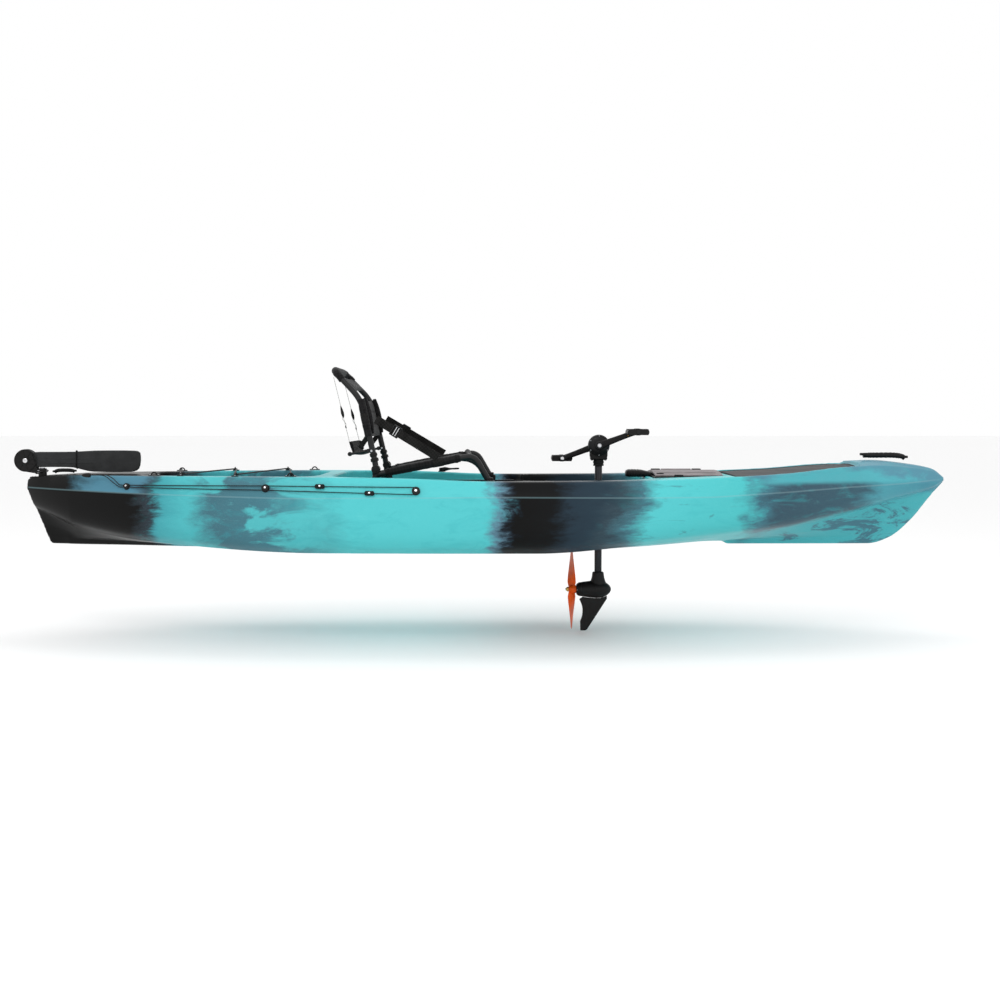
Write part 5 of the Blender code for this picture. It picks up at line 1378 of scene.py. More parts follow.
def make_lower_unit():
    """Lower pod with its neck, the cap behind it and the skeg."""
    nose = [(0, 0.509)] + [(r, x) for x, r in reversed(POD_RADIUS)] + [(0, 0.3855)]
    centre = (0, 0, POD_Z)
    pod = turned("pod", nose, "X", centre, BLACK_PLASTIC, 64)
    rings = []
    for z, half_x, half_y in ((-0.168, 0.04, 0.03), (-0.15, 0.036, 0.0285), (-0.14, 0.031, 0.0265),
                              (-0.125, 0.0262, 0.0245), (-0.108, 0.024, 0.0235), (-0.1015, 0.0225, 0.0225),
                              (-0.1005, 0.0205, 0.0205)):
        rings.append([(CRANK_X + half_x * cos(a), half_y * sin(a), z) for a in
                      (2 * pi * k / 48 for k in range(48))])
    neck = loft("neck", rings, BLACK_PLASTIC, smooth=50)
    band = turned("band", [(0.03, -0.002), (0.0372, -0.002), (0.0376, 0.0), (0.0372, 0.002),
                           (0.03, 0.002)], "X", (0.447, 0, POD_Z), BLACK_PLASTIC, 64)
    piece(join("lower_pod", [pod, neck, band]), "drive", "black_plastic", "lower_unit")
    cap_rows = [(0.0055, 0.3665), (0.02, 0.3665), (0.0222, 0.368), (0.027, 0.3745),
                (0.0286, 0.379), (0.0288, 0.3852), (0.0055, 0.3852)]
    parts = [turned("cap", cap_rows, "X", centre, BLACK_PLASTIC, 64)]
    for k in range(3):
        a = radians(30 + 120 * k)
        parts += bolt(0.3695, 0.0215 * sin(a), POD_Z + 0.0215 * cos(a), (-1, 0, 0), 0.0026, 0.0022)
    piece(join("lower_cap", parts), "drive", "black_plastic", "lower_unit_cap")
    rear = [(0.3 + 0.092 * cos(radians(a)), -0.262 + 0.092 * sin(radians(a))) for a in
            (-27 + 59 * k / 14 for k in range(15))]
    top = [(x, POD_Z - along(POD_RADIUS, x) - 0.0012) for x in (0.392, 0.415, 0.44, 0.462, 0.48, 0.492)]
    outline = [(0.4035, -0.343), (0.383, -0.343), *rear, (0.388, -0.2062), *top, (0.492, -0.212),
               (0.474, -0.24), (0.443, -0.289), (0.411, -0.338)]
    fin = rounded(plate("skeg_fin", outline, -0.0045, 0.0045, BLACK_PLASTIC), 0.0034, 4, 50)
    piece(fin, "drive", "black_plastic", "skeg")


ARM_ROWS = ((0.0, 0.006, 0.007), (0.01, 0.0112, 0.0084), (0.035, 0.0148, 0.0087),
            (0.1, 0.017, 0.0087), (0.16, 0.016, 0.0085), (0.26, 0.0136, 0.008),
            (0.4, 0.0124, 0.0073), (0.6, 0.0114, 0.0068), (0.8, 0.0112, 0.0066),
            (0.9, 0.0122, 0.0065), (0.955, 0.0122, 0.0065), (0.985, 0.0096, 0.0062),
            (1.0, 0.005, 0.005))


def make_cranks():
    """Offset crank arms with their hub rings, eye caps and marks, and the axle between them."""
    for side, word, turn in ((-1, "starboard", CRANK_ANGLE), (1, "port", CRANK_ANGLE + pi)):
        way = Vector((cos(turn), 0, sin(turn)))
        across = Vector((-sin(turn), 0, cos(turn)))
        hub = Vector((CRANK_X, side * 0.05, CRANK_Z))
        tip = hub + way * CRANK_LENGTH + Vector((0, side * 0.018, 0))
        rings = []
        for t, half, thick in ARM_ROWS:
            reach = -0.012 + (CRANK_LENGTH + 0.024) * t
            sway = 0.018 * min(1.0, max(0.0, (t - 0.15) / 0.6))
            middle = hub + way * reach + Vector((0, side * sway, 0))
            rings.append([middle + across * a + Vector((0, b, 0)) for a, b in egg(half, thick)])
        parts = [loft("arm", rings, BLACK_PLASTIC, smooth=60)]
        face = side * 0.0585
        parts.append(turned("hub_ring", [(0.0088, 0.0), (0.015, 0.0), (0.0155, 0.0012), (0.0138, 0.0028),
                                         (0.0088, 0.0028)], (0, side, 0), (CRANK_X, face, CRANK_Z),
                            FINE_PLASTIC, 48))
        eye = turned("eye_cap", disc_profile(0.0072, 0.0, 0.0018, 0.0006), (0, -side, 0),
                     (tip.x, tip.y - side * 0.0062, tip.z), BRIGHT_STEEL, 32)
        parts.append(eye)
        mark = hub.lerp(tip, 0.8) + Vector((0, side * 0.0085, 0))
        parts.append(turned("arm_mark", disc_profile(0.0046, -0.003, 0.0006, 0.0004), (0, side, 0), mark,
                            AMBER, 28))
        piece(join(f"crank_{word}", parts), "cranks", "black_plastic", f"crank_arm_{word}")
        make_pedal(word, side, tip)
    axle = [turned("axle", disc_profile(0.0084, -0.0622, 0.0622, 0.001), "Y", (CRANK_X, 0, CRANK_Z),
                   STEEL, 40)]
    for side in (-1, 1):
        axle.append(turned("axle_nut", disc_profile(0.0062, 0.0, 0.003, 0.0008), (0, side, 0),
                           (CRANK_X, side * 0.0612, CRANK_Z), BRIGHT_STEEL, 6))
    piece(join("crank_spindle", axle), "cranks", "stainless_steel", "crank_axle")


def make_pedal(word, side, eye):
    """Platform pedal with windows and treads, on its spindle."""
    near, far = eye.y + side * 0.0115, side * (PEDAL_Y + 0.046)
    rod_rows = disc_profile(0.0044, 0.0, abs(far - eye.y) + 0.0022, 0.001)
    rod = [turned("spindle", rod_rows, (0, side, 0), (eye.x, eye.y - side * 0.0062, eye.z), STEEL, 28),
           turned("flange", disc_profile(0.0084, 0.0, 0.0035, 0.0008), (0, side, 0),
                  (eye.x, eye.y + side * 0.007, eye.z), STEEL, 6)]
    piece(join(f"spindle_{word}", rod), "cranks", "stainless_steel", f"pedal_spindle_{word}")
    low, high = sorted((near, far))
    outline = [(-0.043, -0.002), (-0.0415, -0.0075), (-0.0365, -0.0112), (-0.03, -0.0118),
               (0.03, -0.0118), (0.0365, -0.0112), (0.0415, -0.0075), (0.043, -0.002),
               (0.0426, 0.0045), (0.04, 0.009), (0.033, 0.0118), (0.0, 0.0126), (-0.033, 0.0118),
               (-0.04, 0.009), (-0.0426, 0.0045)]
    body = plate("pedal_body", [(eye.x + a, eye.z + b) for a, b in outline], low, high, BLACK_PLASTIC)
    windows = []
    for end in (-1, 1):
        x0, x1 = sorted((eye.x + end * 0.011, eye.x + end * 0.031))
        for y0, y1 in ((low + 0.012, 0.5 * (low + high) - 0.003), (0.5 * (low + high) + 0.003, high - 0.012)):
            windows.append(block("window", (x0, y0, eye.z - 0.05), (x1, y1, eye.z + 0.05), None))
    cut(body, *windows)
    parts = [rounded(body, 0.0016, 3)]
    for end in (-1, 1):
        for k in range(9):
            y = low + 0.006 + (high - low - 0.012) * k / 8
            for up in (0.0085, -0.0085):
                a, b = sorted((eye.x + end * 0.0325, eye.x + end * 0.04))
                z0, z1 = sorted((eye.z + up * 0.6, eye.z + up * 1.42))
                parts.append(rounded(block("tread", (a, y - 0.002, z0), (b, y + 0.002, z1), BLACK_PLASTIC),
                                     0.0008, 2))
    for k in range(7):
        y = low + 0.01 + (high - low - 0.02) * k / 6
        for z0, z1 in ((0.011, 0.0139), (-0.0132, -0.0105)):
            parts.append(rounded(block("tread", (eye.x - 0.0085, y - 0.0022, eye.z + z0),
                                       (eye.x + 0.0085, y + 0.0022, eye.z + z1), BLACK_PLASTIC), 0.0009, 2))
    parts.append(turned("dust_cap", disc_profile(0.008, -0.001, 0.0018, 0.0008), (0, side, 0),
                        (eye.x, far, eye.z), FINE_PLASTIC, 32))
    piece(join(f"pedal_{word}_tread", parts), f"{word}_pedal", "black_plastic", f"pedal_{word}")


def make_propeller():
    """Two-blade propeller with smooth aerofoil blades on its hub, and its nut."""
    hub_rows = [(0.0053, 0.3345), (0.011, 0.3345), (0.0128, 0.3353), (0.015, 0.3385), (0.016, 0.343),
                (0.0163, 0.352), (0.0163, 0.364), (0.0155, 0.366), (0.0053, 0.366)]
    parts = [turned("hub", hub_rows, "X", (0, 0, POD_Z), ORANGE, 64)]
    section = []
    for k in range(24):
        a = 2 * pi * k / 24
        run = 0.5 * cos(a)
        section.append((run, (0.5 if sin(a) > 0 else -0.28) * abs(sin(a)) * (1 + 0.35 * run)))
    for blade in range(2):
        rings = []
        for i in range(29):
            t = i / 28
            r = 0.008 + (PROP_R - 0.0005 - 0.008) * t
            chord = 0.018 + 0.037 * sin(pi * min(1.0, t * 0.9 + 0.07)) ** 0.8 * (1 - 0.22 * t)
            if t > 0.9:
                chord *= max(0.12, (1 - ((t - 0.9) / 0.1) ** 2) ** 0.5)
            thick = 0.0056 * (1 - 0.74 * t)
            pitch = atan2(PROP_PITCH, 2 * pi * max(r, 0.028))
            ring = []
            for a, b in section:
                x = a * chord * sin(pitch) + b * thick * cos(pitch)
                y = -a * chord * cos(pitch) + b * thick * sin(pitch)
                ring.append(Matrix.Rotation(pi * blade, 3, "X") @ Vector((x, y, r))
                            + Vector((PROP_X, 0, POD_Z)))
            rings.append(ring)
        parts.append(loft("blade", rings, ORANGE, smooth=60))
    piece(join("screw_blades", parts), "screw", "orange_plastic", "propeller")
    nut = [turned("nut", disc_profile(0.0095, 0.327, 0.3342, 0.0009), "X", (0, 0, POD_Z), BRASS, 6),
           turned("dome_nut", [(0, 0.3235), (0.004, 0.3237), (0.0062, 0.3248), (0.0075, 0.3272),
                               (0, 0.3275)], "X", (0, 0, POD_Z), BRASS, 32)]
    piece(join("screw_nut", nut), "screw", "brass", "propeller_nut")


make_gearbox()
make_column()
make_lower_unit()
make_cranks()
make_propeller()
dress(STEEL, "crank_gear", "drive_shaft", "propeller_shaft")

# ---------------------------------------------------------------- rudder

STEER_X = -1.815
PIVOT = (-1.88, 0.3565)
LINE_R = 0.00175
LINE_STANDOFF = 0.0075
GUIDE_AFT_X = -1.401
GUIDE_MID_X = -0.84
PULLEY = (-0.264, 0.251)
PULLEY_R = 0.0135


def make_rudder_mount():
    """Foot and pintle on the hull, and the fork, tiller arm and axle that turn on them."""
    floor = 0.2833
    base = rounded(block("base", (-1.86, -0.026, floor), (-1.786, 0.026, 0.2905), BLACK_PLASTIC), 0.003, 4)
    parts = [base]
    for x in (-1.851, -1.795):
        for y in (-0.018, 0.018):
            parts += bolt(x, y, 0.2903, "Z", 0.0042, 0.0024)
    piece(join("rudder_foot", parts), "hull", "black_alloy", "rudder_bracket")
    pin = [turned("pin", disc_profile(0.0059, 0.2845, 0.3245, 0.0006), "Z", (STEER_X, 0, 0), STEEL, 40),
           turned("pin_head", disc_profile(0.0104, 0.3241, 0.3272, 0.001), "Z", (STEER_X, 0, 0), STEEL, 40)]
    piece(join("pintle_pin", pin), "hull", "stainless_steel", "rudder_pintle")
    px, pz = PIVOT
    post = [(0.0066, 0.2909), (0.016, 0.2909), (0.0168, 0.292), (0.0168, 0.3222), (0.0158, 0.3237),
            (0.0066, 0.3237)]
    parts = [turned("yoke_post", post, "Z", (STEER_X, 0, 0), BLACK_PLASTIC, 48)]
    rim = [(0.0415, 0.0), (0.045, 0.0), (0.0452, 0.0016), (0.044, 0.0026), (0.0425, 0.0026),
           (0.0415, 0.0016)]
    hub = [(0.01, 0.0), (0.0165, 0.0), (0.016, 0.0026), (0.0145, 0.0034), (0.011, 0.0034),
           (0.01, 0.0026)]
    cheek = disc_points(px, pz, 0.046, 60, 272, 48) + [(STEER_X - 0.006, 0.301), (STEER_X + 0.006, 0.301),
                                                       (STEER_X + 0.006, 0.3237), (STEER_X - 0.018, 0.3237)]
    for side in (-1, 1):
        low, high = sorted((side * 0.0093, side * 0.0153))
        parts.append(rounded(plate("cheek", cheek, low, high, BLACK_PLASTIC), 0.0018, 3, 50))
        parts.append(turned("cheek_rim", rim, (0, side, 0), (px, side * 0.015, pz), BLACK_PLASTIC, 72))
        parts.append(turned("cheek_hub", hub, (0, side, 0), (px, side * 0.015, pz), BLACK_PLASTIC, 48))
        for k in range(8):
            a = radians(45 * k + 12)
            spoke = [(px + r * cos(a), side * 0.0156, pz + r * sin(a)) for r in (0.015, 0.028, 0.0425)]
            parts.append(tube("spoke", spoke, [0.0024, 0.0021, 0.0024], BLACK_PLASTIC, 12, 0.6))
    web = block("yoke_web", (-1.842, -0.01, 0.301), (STEER_X, 0.01, 0.3237), BLACK_PLASTIC)
    parts.append(rounded(web, 0.002))
    arm = []
    for t in range(25):
        y = -0.056 + 0.112 * t / 24
        wide = 0.009 * (1 - 0.35 * abs(y / 0.056) ** 2)
        arm.append([(STEER_X + a, y, 0.3125 + b) for a, b in egg(wide, 0.004, 20, 0.7)])
    parts.append(loft("yoke_arm", arm, BLACK_PLASTIC, smooth=50))
    for side in (-1, 1):
        parts.append(turned("arm_eye", disc_profile(0.0046, -0.0012, 0.0098, 0.0008), "Z",
                            (STEER_X, side * 0.05, 0.3082), STEEL, 24))
    piece(join("rudder_fork", parts), "rudder_head", "black_plastic", "rudder_yoke")
    axle = [turned("axle", disc_profile(0.0049, -0.019, 0.019, 0.0005), "Y", (px, 0, pz), STEEL, 32)]
    for side in (-1, 1):
        axle.append(turned("axle_head", [(0.002, 0.0), (0.0094, 0.0), (0.0092, 0.003), (0.007, 0.0044),
                                         (0.002, 0.0044)], (0, side, 0), (px, side * 0.0156, pz),
                           BRIGHT_STEEL, 40))
        axle.append(turned("axle_socket", disc_profile(0.0021, 0.0, 0.0024, 0.0002, 2), (0, side, 0),
                           (px, side * 0.0156, pz), RUBBER, 6))
    piece(join("rudder_axle", axle), "rudder_head", "stainless_steel", "rudder_pivot_bolt")


def make_rudder_blade():
    """Swept-back blade, stowed flat on the deck at rest, with its rubber band."""
    px, pz = PIVOT
    corners = [(0.02, -0.033), (0.034, -0.031), (0.055, -0.0278), (0.09, -0.027), (0.13, -0.027),
               (0.165, -0.0274), (0.19, -0.0288), (0.212, -0.0332), (0.235, -0.0395), (0.255, -0.044),
               (0.275, -0.0462), (0.33, -0.0473), (0.38, -0.0472), (0.425, -0.0464), (0.44, -0.0446),
               (0.451, -0.0405), (0.459, -0.033), (0.464, -0.02), (0.4668, 0.0), (0.4668, 0.018),
               (0.465, 0.03), (0.461, 0.035), (0.454, 0.0385), (0.44, 0.04), (0.4, 0.041),
               (0.34, 0.041), (0.28, 0.0403), (0.24, 0.0382), (0.2, 0.036), (0.16, 0.0352),
               (0.12, 0.035), (0.055, 0.035), (0.03, 0.0335)]
    blade = plate("blade", [(px + a, pz + b) for a, b in corners], -0.006, 0.006, CHARCOAL)
    blade = rounded(blade, 0.0036, 5, 50)
    root = turned("root", disc_profile(0.0445, -0.0085, 0.0085, 0.0016), "Y", (px, 0, pz), CHARCOAL, 96)
    parts = [blade, root]
    for side in (-1, 1):
        for z in (-0.01, 0.008):
            groove = [Vector((px + x, side * 0.0062, pz + z)) for x in (0.075, 0.16, 0.24, 0.3)]
            parts.append(tube("blade_rib", groove, [0.0006, 0.002, 0.002, 0.0006], CHARCOAL, 12, 0.55))
    piece(join("blade_shape", parts), "rudder", "charcoal_plastic", "rudder_blade")
    x = -1.674
    wrap = []
    for k in range(41):
        a = 2 * pi * k / 40
        c, s = cos(a), sin(a)
        wrap.append((x + 0.0008 * sin(3 * a), 0.0082 * abs(c) ** 0.35 * (1 if c > 0 else -1),
                     pz + 0.0036 + 0.0355 * abs(s) ** 0.55 * (1 if s > 0 else -1)))
    rings = tube_rings(wrap[:-1], 0.0026, 12)
    piece(loft("blade_band", rings, RUBBER, closed=True, smooth=60), "rudder", "black_plastic")


def side_surface(x, z):
    """Point on the starboard panel between the ridge and the deck's edge."""
    share = max(0.0, min(1.0, (z - along(RIDGE, x)) / (deck_height(x) - 0.01 - along(RIDGE, x))))
    return Vector((x, -(half_beam(x) - 0.029 * share), z))


def side_frame(x, z):
    """Surface point with its outward normal, the way along the hull and the way up the panel."""
    here = side_surface(x, z)
    ahead = (side_surface(x + 0.01, z) - side_surface(x - 0.01, z)).normalized()
    rise = (side_surface(x, z + 0.003) - side_surface(x, z - 0.003)).normalized()
    out = rise.cross(ahead).normalized()
    if out.y > 0:
        out.negate()
    return here, out, ahead, ahead.cross(out) * (1 if ahead.cross(out).z > 0 else -1)


def side_point(x, z, standoff):
    """Point a little off the starboard panel."""
    here, out, *_ = side_frame(x, z)
    return here + out * standoff


def line_heights(x):
    """Heights of the line's upper and lower run at x."""
    if x < GUIDE_MID_X:
        share = (x - GUIDE_AFT_X) / (GUIDE_MID_X - GUIDE_AFT_X)
        return 0.265 + 0.0035 * share, 0.257 - 0.0045 * share
    share = (x - GUIDE_MID_X) / (PULLEY[0] - GUIDE_MID_X)
    upper, lower = 0.2685, 0.2525
    return upper + (PULLEY[1] + PULLEY_R - upper) * share, lower + (PULLEY[1] - PULLEY_R - lower) * share


def make_rudder_line():
    """One line from the deck through the guides, round the pulley and back."""
    first = GUIDE_AFT_X - 0.03
    xs = [first + (PULLEY[0] - 0.012 - first) * i / 60 for i in range(61)]
    upper = [side_point(x, line_heights(x)[0], LINE_STANDOFF) for x in xs]
    lower = [side_point(x, line_heights(x)[1], LINE_STANDOFF) for x in xs]
    here, out, ahead, up = side_frame(*PULLEY)
    centre = here + out * LINE_STANDOFF
    bend = [centre + PULLEY_R * (ahead * sin(pi * t / 24) + up * cos(pi * t / 24)) for t in range(25)]
    y = upper[0].y
    deck = deck_height(-1.52) + LINE_R + 0.0003
    start = curved([(-1.56, y + 0.04, deck), (-1.525, y + 0.036, deck), (-1.495, y + 0.03, deck + 0.001),
                    (-1.462, y + 0.012, deck - 0.012), tuple(upper[0])], 6)[:-1]
    end = curved([tuple(lower[0]), (-1.462, y + 0.004, deck - 0.025), (-1.49, y + 0.02, deck - 0.006),
                  (-1.515, y + 0.028, deck), (-1.56, y + 0.03, deck)], 6)[1:]
    path = start + upper + bend + lower[::-1] + end
    line = curve_cord("control_line", path, LINE_R, CORD)
    piece(line, "hull", "cord", "rudder_line")
    make_fairlead(0.5 * (path[0] + path[-1]))


def make_fairlead(mouth):
    """Low hood on the deck where both runs of the line go below."""
    rings = []
    for x, wide, tall in ((-0.03, 0.0035, 0.002), (-0.026, 0.008, 0.005), (-0.016, 0.0108, 0.0078),
                          (-0.004, 0.0118, 0.0086), (0.002, 0.0112, 0.008), (0.003, 0.0095, 0.0066)):
        rings.append([(mouth.x + x, mouth.y + a, mouth.z - 0.0006 + b) for a, b in egg(wide, tall, 32, 0.8)])
    hood = loft("line_fairlead", rings, BLACK_PLASTIC, smooth=60)
    piece(hood, "hull", "black_plastic")


def make_line_guides():
    """Two round guides on the side and the pulley that turns the line back."""
    for word, x, radius in (("aft", GUIDE_AFT_X, 0.0125), ("mid", GUIDE_MID_X, 0.015)):
        here, out, *_ = side_frame(x, 0.5 * sum(line_heights(x)))
        rows = [(0.0022, 0.0012), (radius * 1.06, 0.0012), (radius * 1.06, 0.0028), (radius * 0.96, 0.004),
                (radius * 0.96, 0.0108), (radius * 0.88, 0.013), (radius * 0.55, 0.0136), (0.0022, 0.0136)]
        parts = [turned("guide", rows, out, here, BLACK_PLASTIC, 64),
                 turned("guide_screw", disc_profile(0.0042, -0.001, 0.0018, 0.0008), out,
                        here + out * 0.0128, BRIGHT_STEEL, 32)]
        piece(join(f"guide_{word}", parts), "hull", "black_plastic", f"line_guide_{word}")
    here, out, *_ = side_frame(*PULLEY)
    rows = [(0, -0.0058), (0.0148, -0.0058), (0.0155, -0.0053), (0.0155, -0.0048), (0.0115, -0.003),
            (0.0106, 0.0), (0.0115, 0.003), (0.0155, 0.0048), (0.0155, 0.0056), (0.0146, 0.0064),
            (0.007, 0.0068), (0, 0.0068)]
    parts = [turned("sheave", rows, out, here + out * LINE_STANDOFF, BLACK_PLASTIC, 64),
             turned("sheave_pin", disc_profile(0.005, 0.0, 0.0022, 0.0008), out, here + out * 0.0136,
                    BRIGHT_STEEL, 32)]
    piece(join("pulley_sheave", parts), "hull", "black_plastic", "line_pulley")


def make_toggles():
    """Sliding grips on the two runs of the line, waisted with finger ridges."""
    for which, (name, body) in enumerate((("raise_toggle", "raise_grip"), ("lower_toggle", "lower_grip"))):
        first, last = [side_point(x, line_heights(x)[which], LINE_STANDOFF) for x in
                       ((-0.63, -0.5) if which == 0 else (-0.44, -0.57))]
        way = (last - first).normalized()
        middle_x = 0.5 * (first.x + last.x)
        out = side_frame(middle_x, line_heights(middle_x)[which])[1]
        out = (out - way * out.dot(way)).normalized()
        up = way.cross(out)
        rings = []
        for k in range(37):
            reach = -0.0182 + 0.0364 * k / 36
            size = 0.55 + 0.45 * min(1.0, (0.0182 - abs(reach)) / 0.006) ** 0.5
            size -= 0.1 * (0.5 + 0.5 * cos(reach / 0.0182 * 5 * pi)) * (abs(reach) < 0.013)
            ring = []
            for a, b in egg(1.0, 1.0, 24, 0.7):
                ring.append(first + way * reach + out * (0.0008 + 0.0062 * a * (size if a > 0 else 0.95))
                            + up * 0.0094 * b * size)
            rings.append(ring)
        toggle = loft(f"{name}_grip", rings, RUBBER, smooth=60)
        cap = turned("toggle_cap", disc_profile(0.0036, 0.0, 0.0012, 0.0005), out, first + out * 0.0062,
                     BRIGHT_STEEL, 24)
        piece(join(f"{name}_body", [toggle, cap]), body, "black_plastic", name)


def make_steering_lever():
    """Steering lever with its foot and soft grip."""
    x, y = -0.2, half_beam(-0.2) - 0.06
    z = deck_height(x - 0.02) + 0.0005
    base = turned("lever_foot", [(0, 0), (0.0155, 0), (0.016, 0.001), (0.0152, 0.0032), (0.012, 0.004),
                                 (0.0045, 0.004), (0.0045, 0.013), (0.004, 0.0135), (0, 0.0135)], "Z",
                  (x, y, z), BLACK_PLASTIC, 48)
    piece(base, "hull", "black_plastic", "steering_lever_base")
    boss = turned("lever_boss", [(0.0048, 0.0043), (0.012, 0.0043), (0.0128, 0.0052), (0.0125, 0.0148),
                                 (0.0105, 0.017), (0.0048, 0.017)], "Z", (x, y, z), BLACK_PLASTIC, 48)
    grip = []
    rows = ((-0.002, 0.0095, 0.007), (0.006, 0.0108, 0.0085), (0.014, 0.0104, 0.0092),
            (0.024, 0.0085, 0.0068), (0.034, 0.0068, 0.0044), (0.046, 0.0074, 0.0036),
            (0.058, 0.0088, 0.004), (0.066, 0.0086, 0.004), (0.072, 0.0064, 0.0034),
            (0.0755, 0.0028, 0.002))
    for reach, wide, tall in rows:
        lift = 0.0105 + 0.003 * (reach / 0.075)
        grip.append([(x + reach, y + a, z + lift + b) for a, b in egg(wide, tall, 28, 0.8)])
    parts = [boss, loft("lever_grip", grip, RUBBER, smooth=60)]
    parts += bolt(x, y, z + 0.016, "Z", 0.0036, 0.0022)
    piece(join("lever_handle", parts), "steering", "black_plastic", "steering_lever")


make_rudder_mount()
make_rudder_blade()
make_rudder_line()
make_line_guides()
make_toggles()
make_steering_lever()

# ---------------------------------------------------------------- deck fittings

BUNGEE_R = 0.003
NET_CLOTH = woven("net_cloth", (30, 31, 34), 0.003, (0.0, 0.0, 0.5), 0.15, 1.2)

def make_bow_cover():
    """Mesh cover stretched over the bow well, with a bound hem."""
    x0, x1, depth = COVER_RECESS
    columns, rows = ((60, 48))
    verts = []
    for i in range(columns + 1):
        x = x0 + 0.008 + (x1 - x0 - 0.016) * i / columns
        end = min(i, columns - i) / columns
        corner = 0.045 * max(0.0, 1 - end / 0.085) ** 2
        half = half_beam(x) - COVER_MARGIN - 0.009 - corner
        floor = deck_height(x) - depth + 0.0016
        for k in range(rows + 1):
            u = -1 + 2 * k / rows
            crown = 0.0052 * (1 - u * u) ** 0.8
            slack = 0.0012 * sin(4.1 * x * 9 + 5.0 * u) * (1 - u * u) * min(1.0, end * 8)
            verts.append((x, half * u, floor + crown + slack))
    wide = rows + 1
    faces = [(i * wide + k, (i + 1) * wide + k, (i + 1) * wide + k + 1, i * wide + k + 1)
             for i in range(columns) for k in range(rows)]
    cloth = mesh_object("bow_net", verts, faces, NET_CLOTH, 60)
    thick = cloth.modifiers.new("cloth", "SOLIDIFY")
    thick.thickness = 0.001
    thick.offset = 0.0
    bake(cloth)
    cloth.data.shade_smooth()
    rim = [verts[i * wide] for i in range(columns + 1)]
    rim += [verts[columns * wide + k] for k in range(1, rows + 1)]
    rim += [verts[i * wide + rows] for i in range(columns - 1, -1, -1)]
    rim += [verts[k] for k in range(rows - 1, 0, -1)]
    hem = loft("bow_net_hem", tube_rings(rim, 0.0032, 12, 0.75), PIPING, closed=True, smooth=60)
    piece(cloth, "hull", "mesh_fabric", "bow_mesh_cover")
    piece(hem, "hull", "mesh_fabric")


def make_handle(name, x0, z0, x1, z1, top, radius):
    """Arched carry handle with round feet and a ribbed grip."""
    rise = (x1 - x0) * 0.2
    path = curved([(x0, 0, z0), (x0 + rise * 0.4, 0, z0 + 0.65 * (top - z0)), (x0 + rise * 1.5, 0, top),
                   (x1 - rise * 1.5, 0, top), (x1 - rise * 0.4, 0, z1 + 0.65 * (top - z1)), (x1, 0, z1)], 14)
    count = len(path)
    radii = []
    for i in range(count):
        t = i / (count - 1)
        grip = 1.0 if 0.25 < t < 0.75 else 0.0
        radii.append(radius * (0.92 + 0.08 * grip + 0.05 * grip * cos(t * 120)))
    parts = [tube("bar", path, radii, BLACK_PLASTIC, 24)]
    for x, z in ((x0, z0), (x1, z1)):
        parts.append(turned("foot", disc_profile(radius * 1.25, -0.004, radius * 0.55, 0.002), "Z",
                            (x, 0, z + 0.0035), BLACK_PLASTIC, 40))
    piece(join(f"{name}_grip", parts), "hull", "black_plastic", name)


def make_deck_eyes():
    """Pad eyes beside the rear well."""
    for number, (x, side) in enumerate(((-1.3, 1), (-1.3, -1), (-0.75, 1), (-0.75, -1)), 1):
        y = side * (half_beam(x) - 0.06)
        z = deck_height(x) + 0.0012
        base = rounded(block("base", (x - 0.022, y - 0.008, z), (x + 0.022, y + 0.008, z + 0.0034),
                             BLACK_PLASTIC), 0.0016, 4)
        arch = [(x + 0.011 * cos(a), y, z + 0.0012 + 0.0115 * sin(a)) for a in
                (pi * k / 24 for k in range(25))]
        parts = [base, tube("arch", arch, 0.0026, BLACK_PLASTIC, 16)]
        for end in (-1, 1):
            parts += bolt(x + end * 0.0165, y, z + 0.0032, "Z", 0.003, 0.0018)
        piece(join(f"pad_eye_{number}", parts), "hull", "black_plastic", f"deck_eye_{number}")


def bungee_corners():
    """Places of the cord's ends and hooks, on each side of the rear well in turn."""
    corners = []
    for i in range(6):
        x = -1.3 + 0.55 * i / 5
        side = 1 if i % 2 == 0 else -1
        reach = half_beam(x) - (0.085 if 0 < i < 5 else 0.077)
        corners.append(Vector((x, side * reach, deck_height(x) + 0.008)))
    return corners


def laced(corners, bend):
    """Cord path from the first corner to the last, turning round a hook at each corner between them."""
    last = len(corners) - 1
    radii = [0.0 if i in (0, last) else bend for i in range(last + 1)]
    centres = [p - Vector((0, r if p.y > 0 else -r, 0)) for p, r in zip(corners, radii)]
    turns = [-1 if p.y > 0 else 1 for p in corners]
    headings = []
    for i in range(last):
        run = centres[i + 1] - centres[i]
        away = asin((radii[i] + radii[i + 1]) / hypot(run.x, run.y))
        headings.append(atan2(run.y, run.x) + turns[i] * away)
    path = [centres[0]]
    for i in range(1, last):
        start, sweep = headings[i - 1], headings[i] - headings[i - 1]
        while sweep * turns[i] < 0:
            sweep += turns[i] * 2 * pi
        arc = []
        for k in range(17):
            heading = start + sweep * k / 16 - turns[i] * pi / 2
            arc.append(centres[i] + Vector((bend * cos(heading), bend * sin(heading), 0)))
        path += spaced(path[-1], arc[0]) + arc
    return path + spaced(path[-1], centres[last]) + [centres[last]]


def spaced(start, end, gap=0.04):
    """Points strictly between two ends, about a gap apart."""
    count = max(1, round((end - start).length / gap))
    return [start.lerp(end, k / count) for k in range(1, count)]


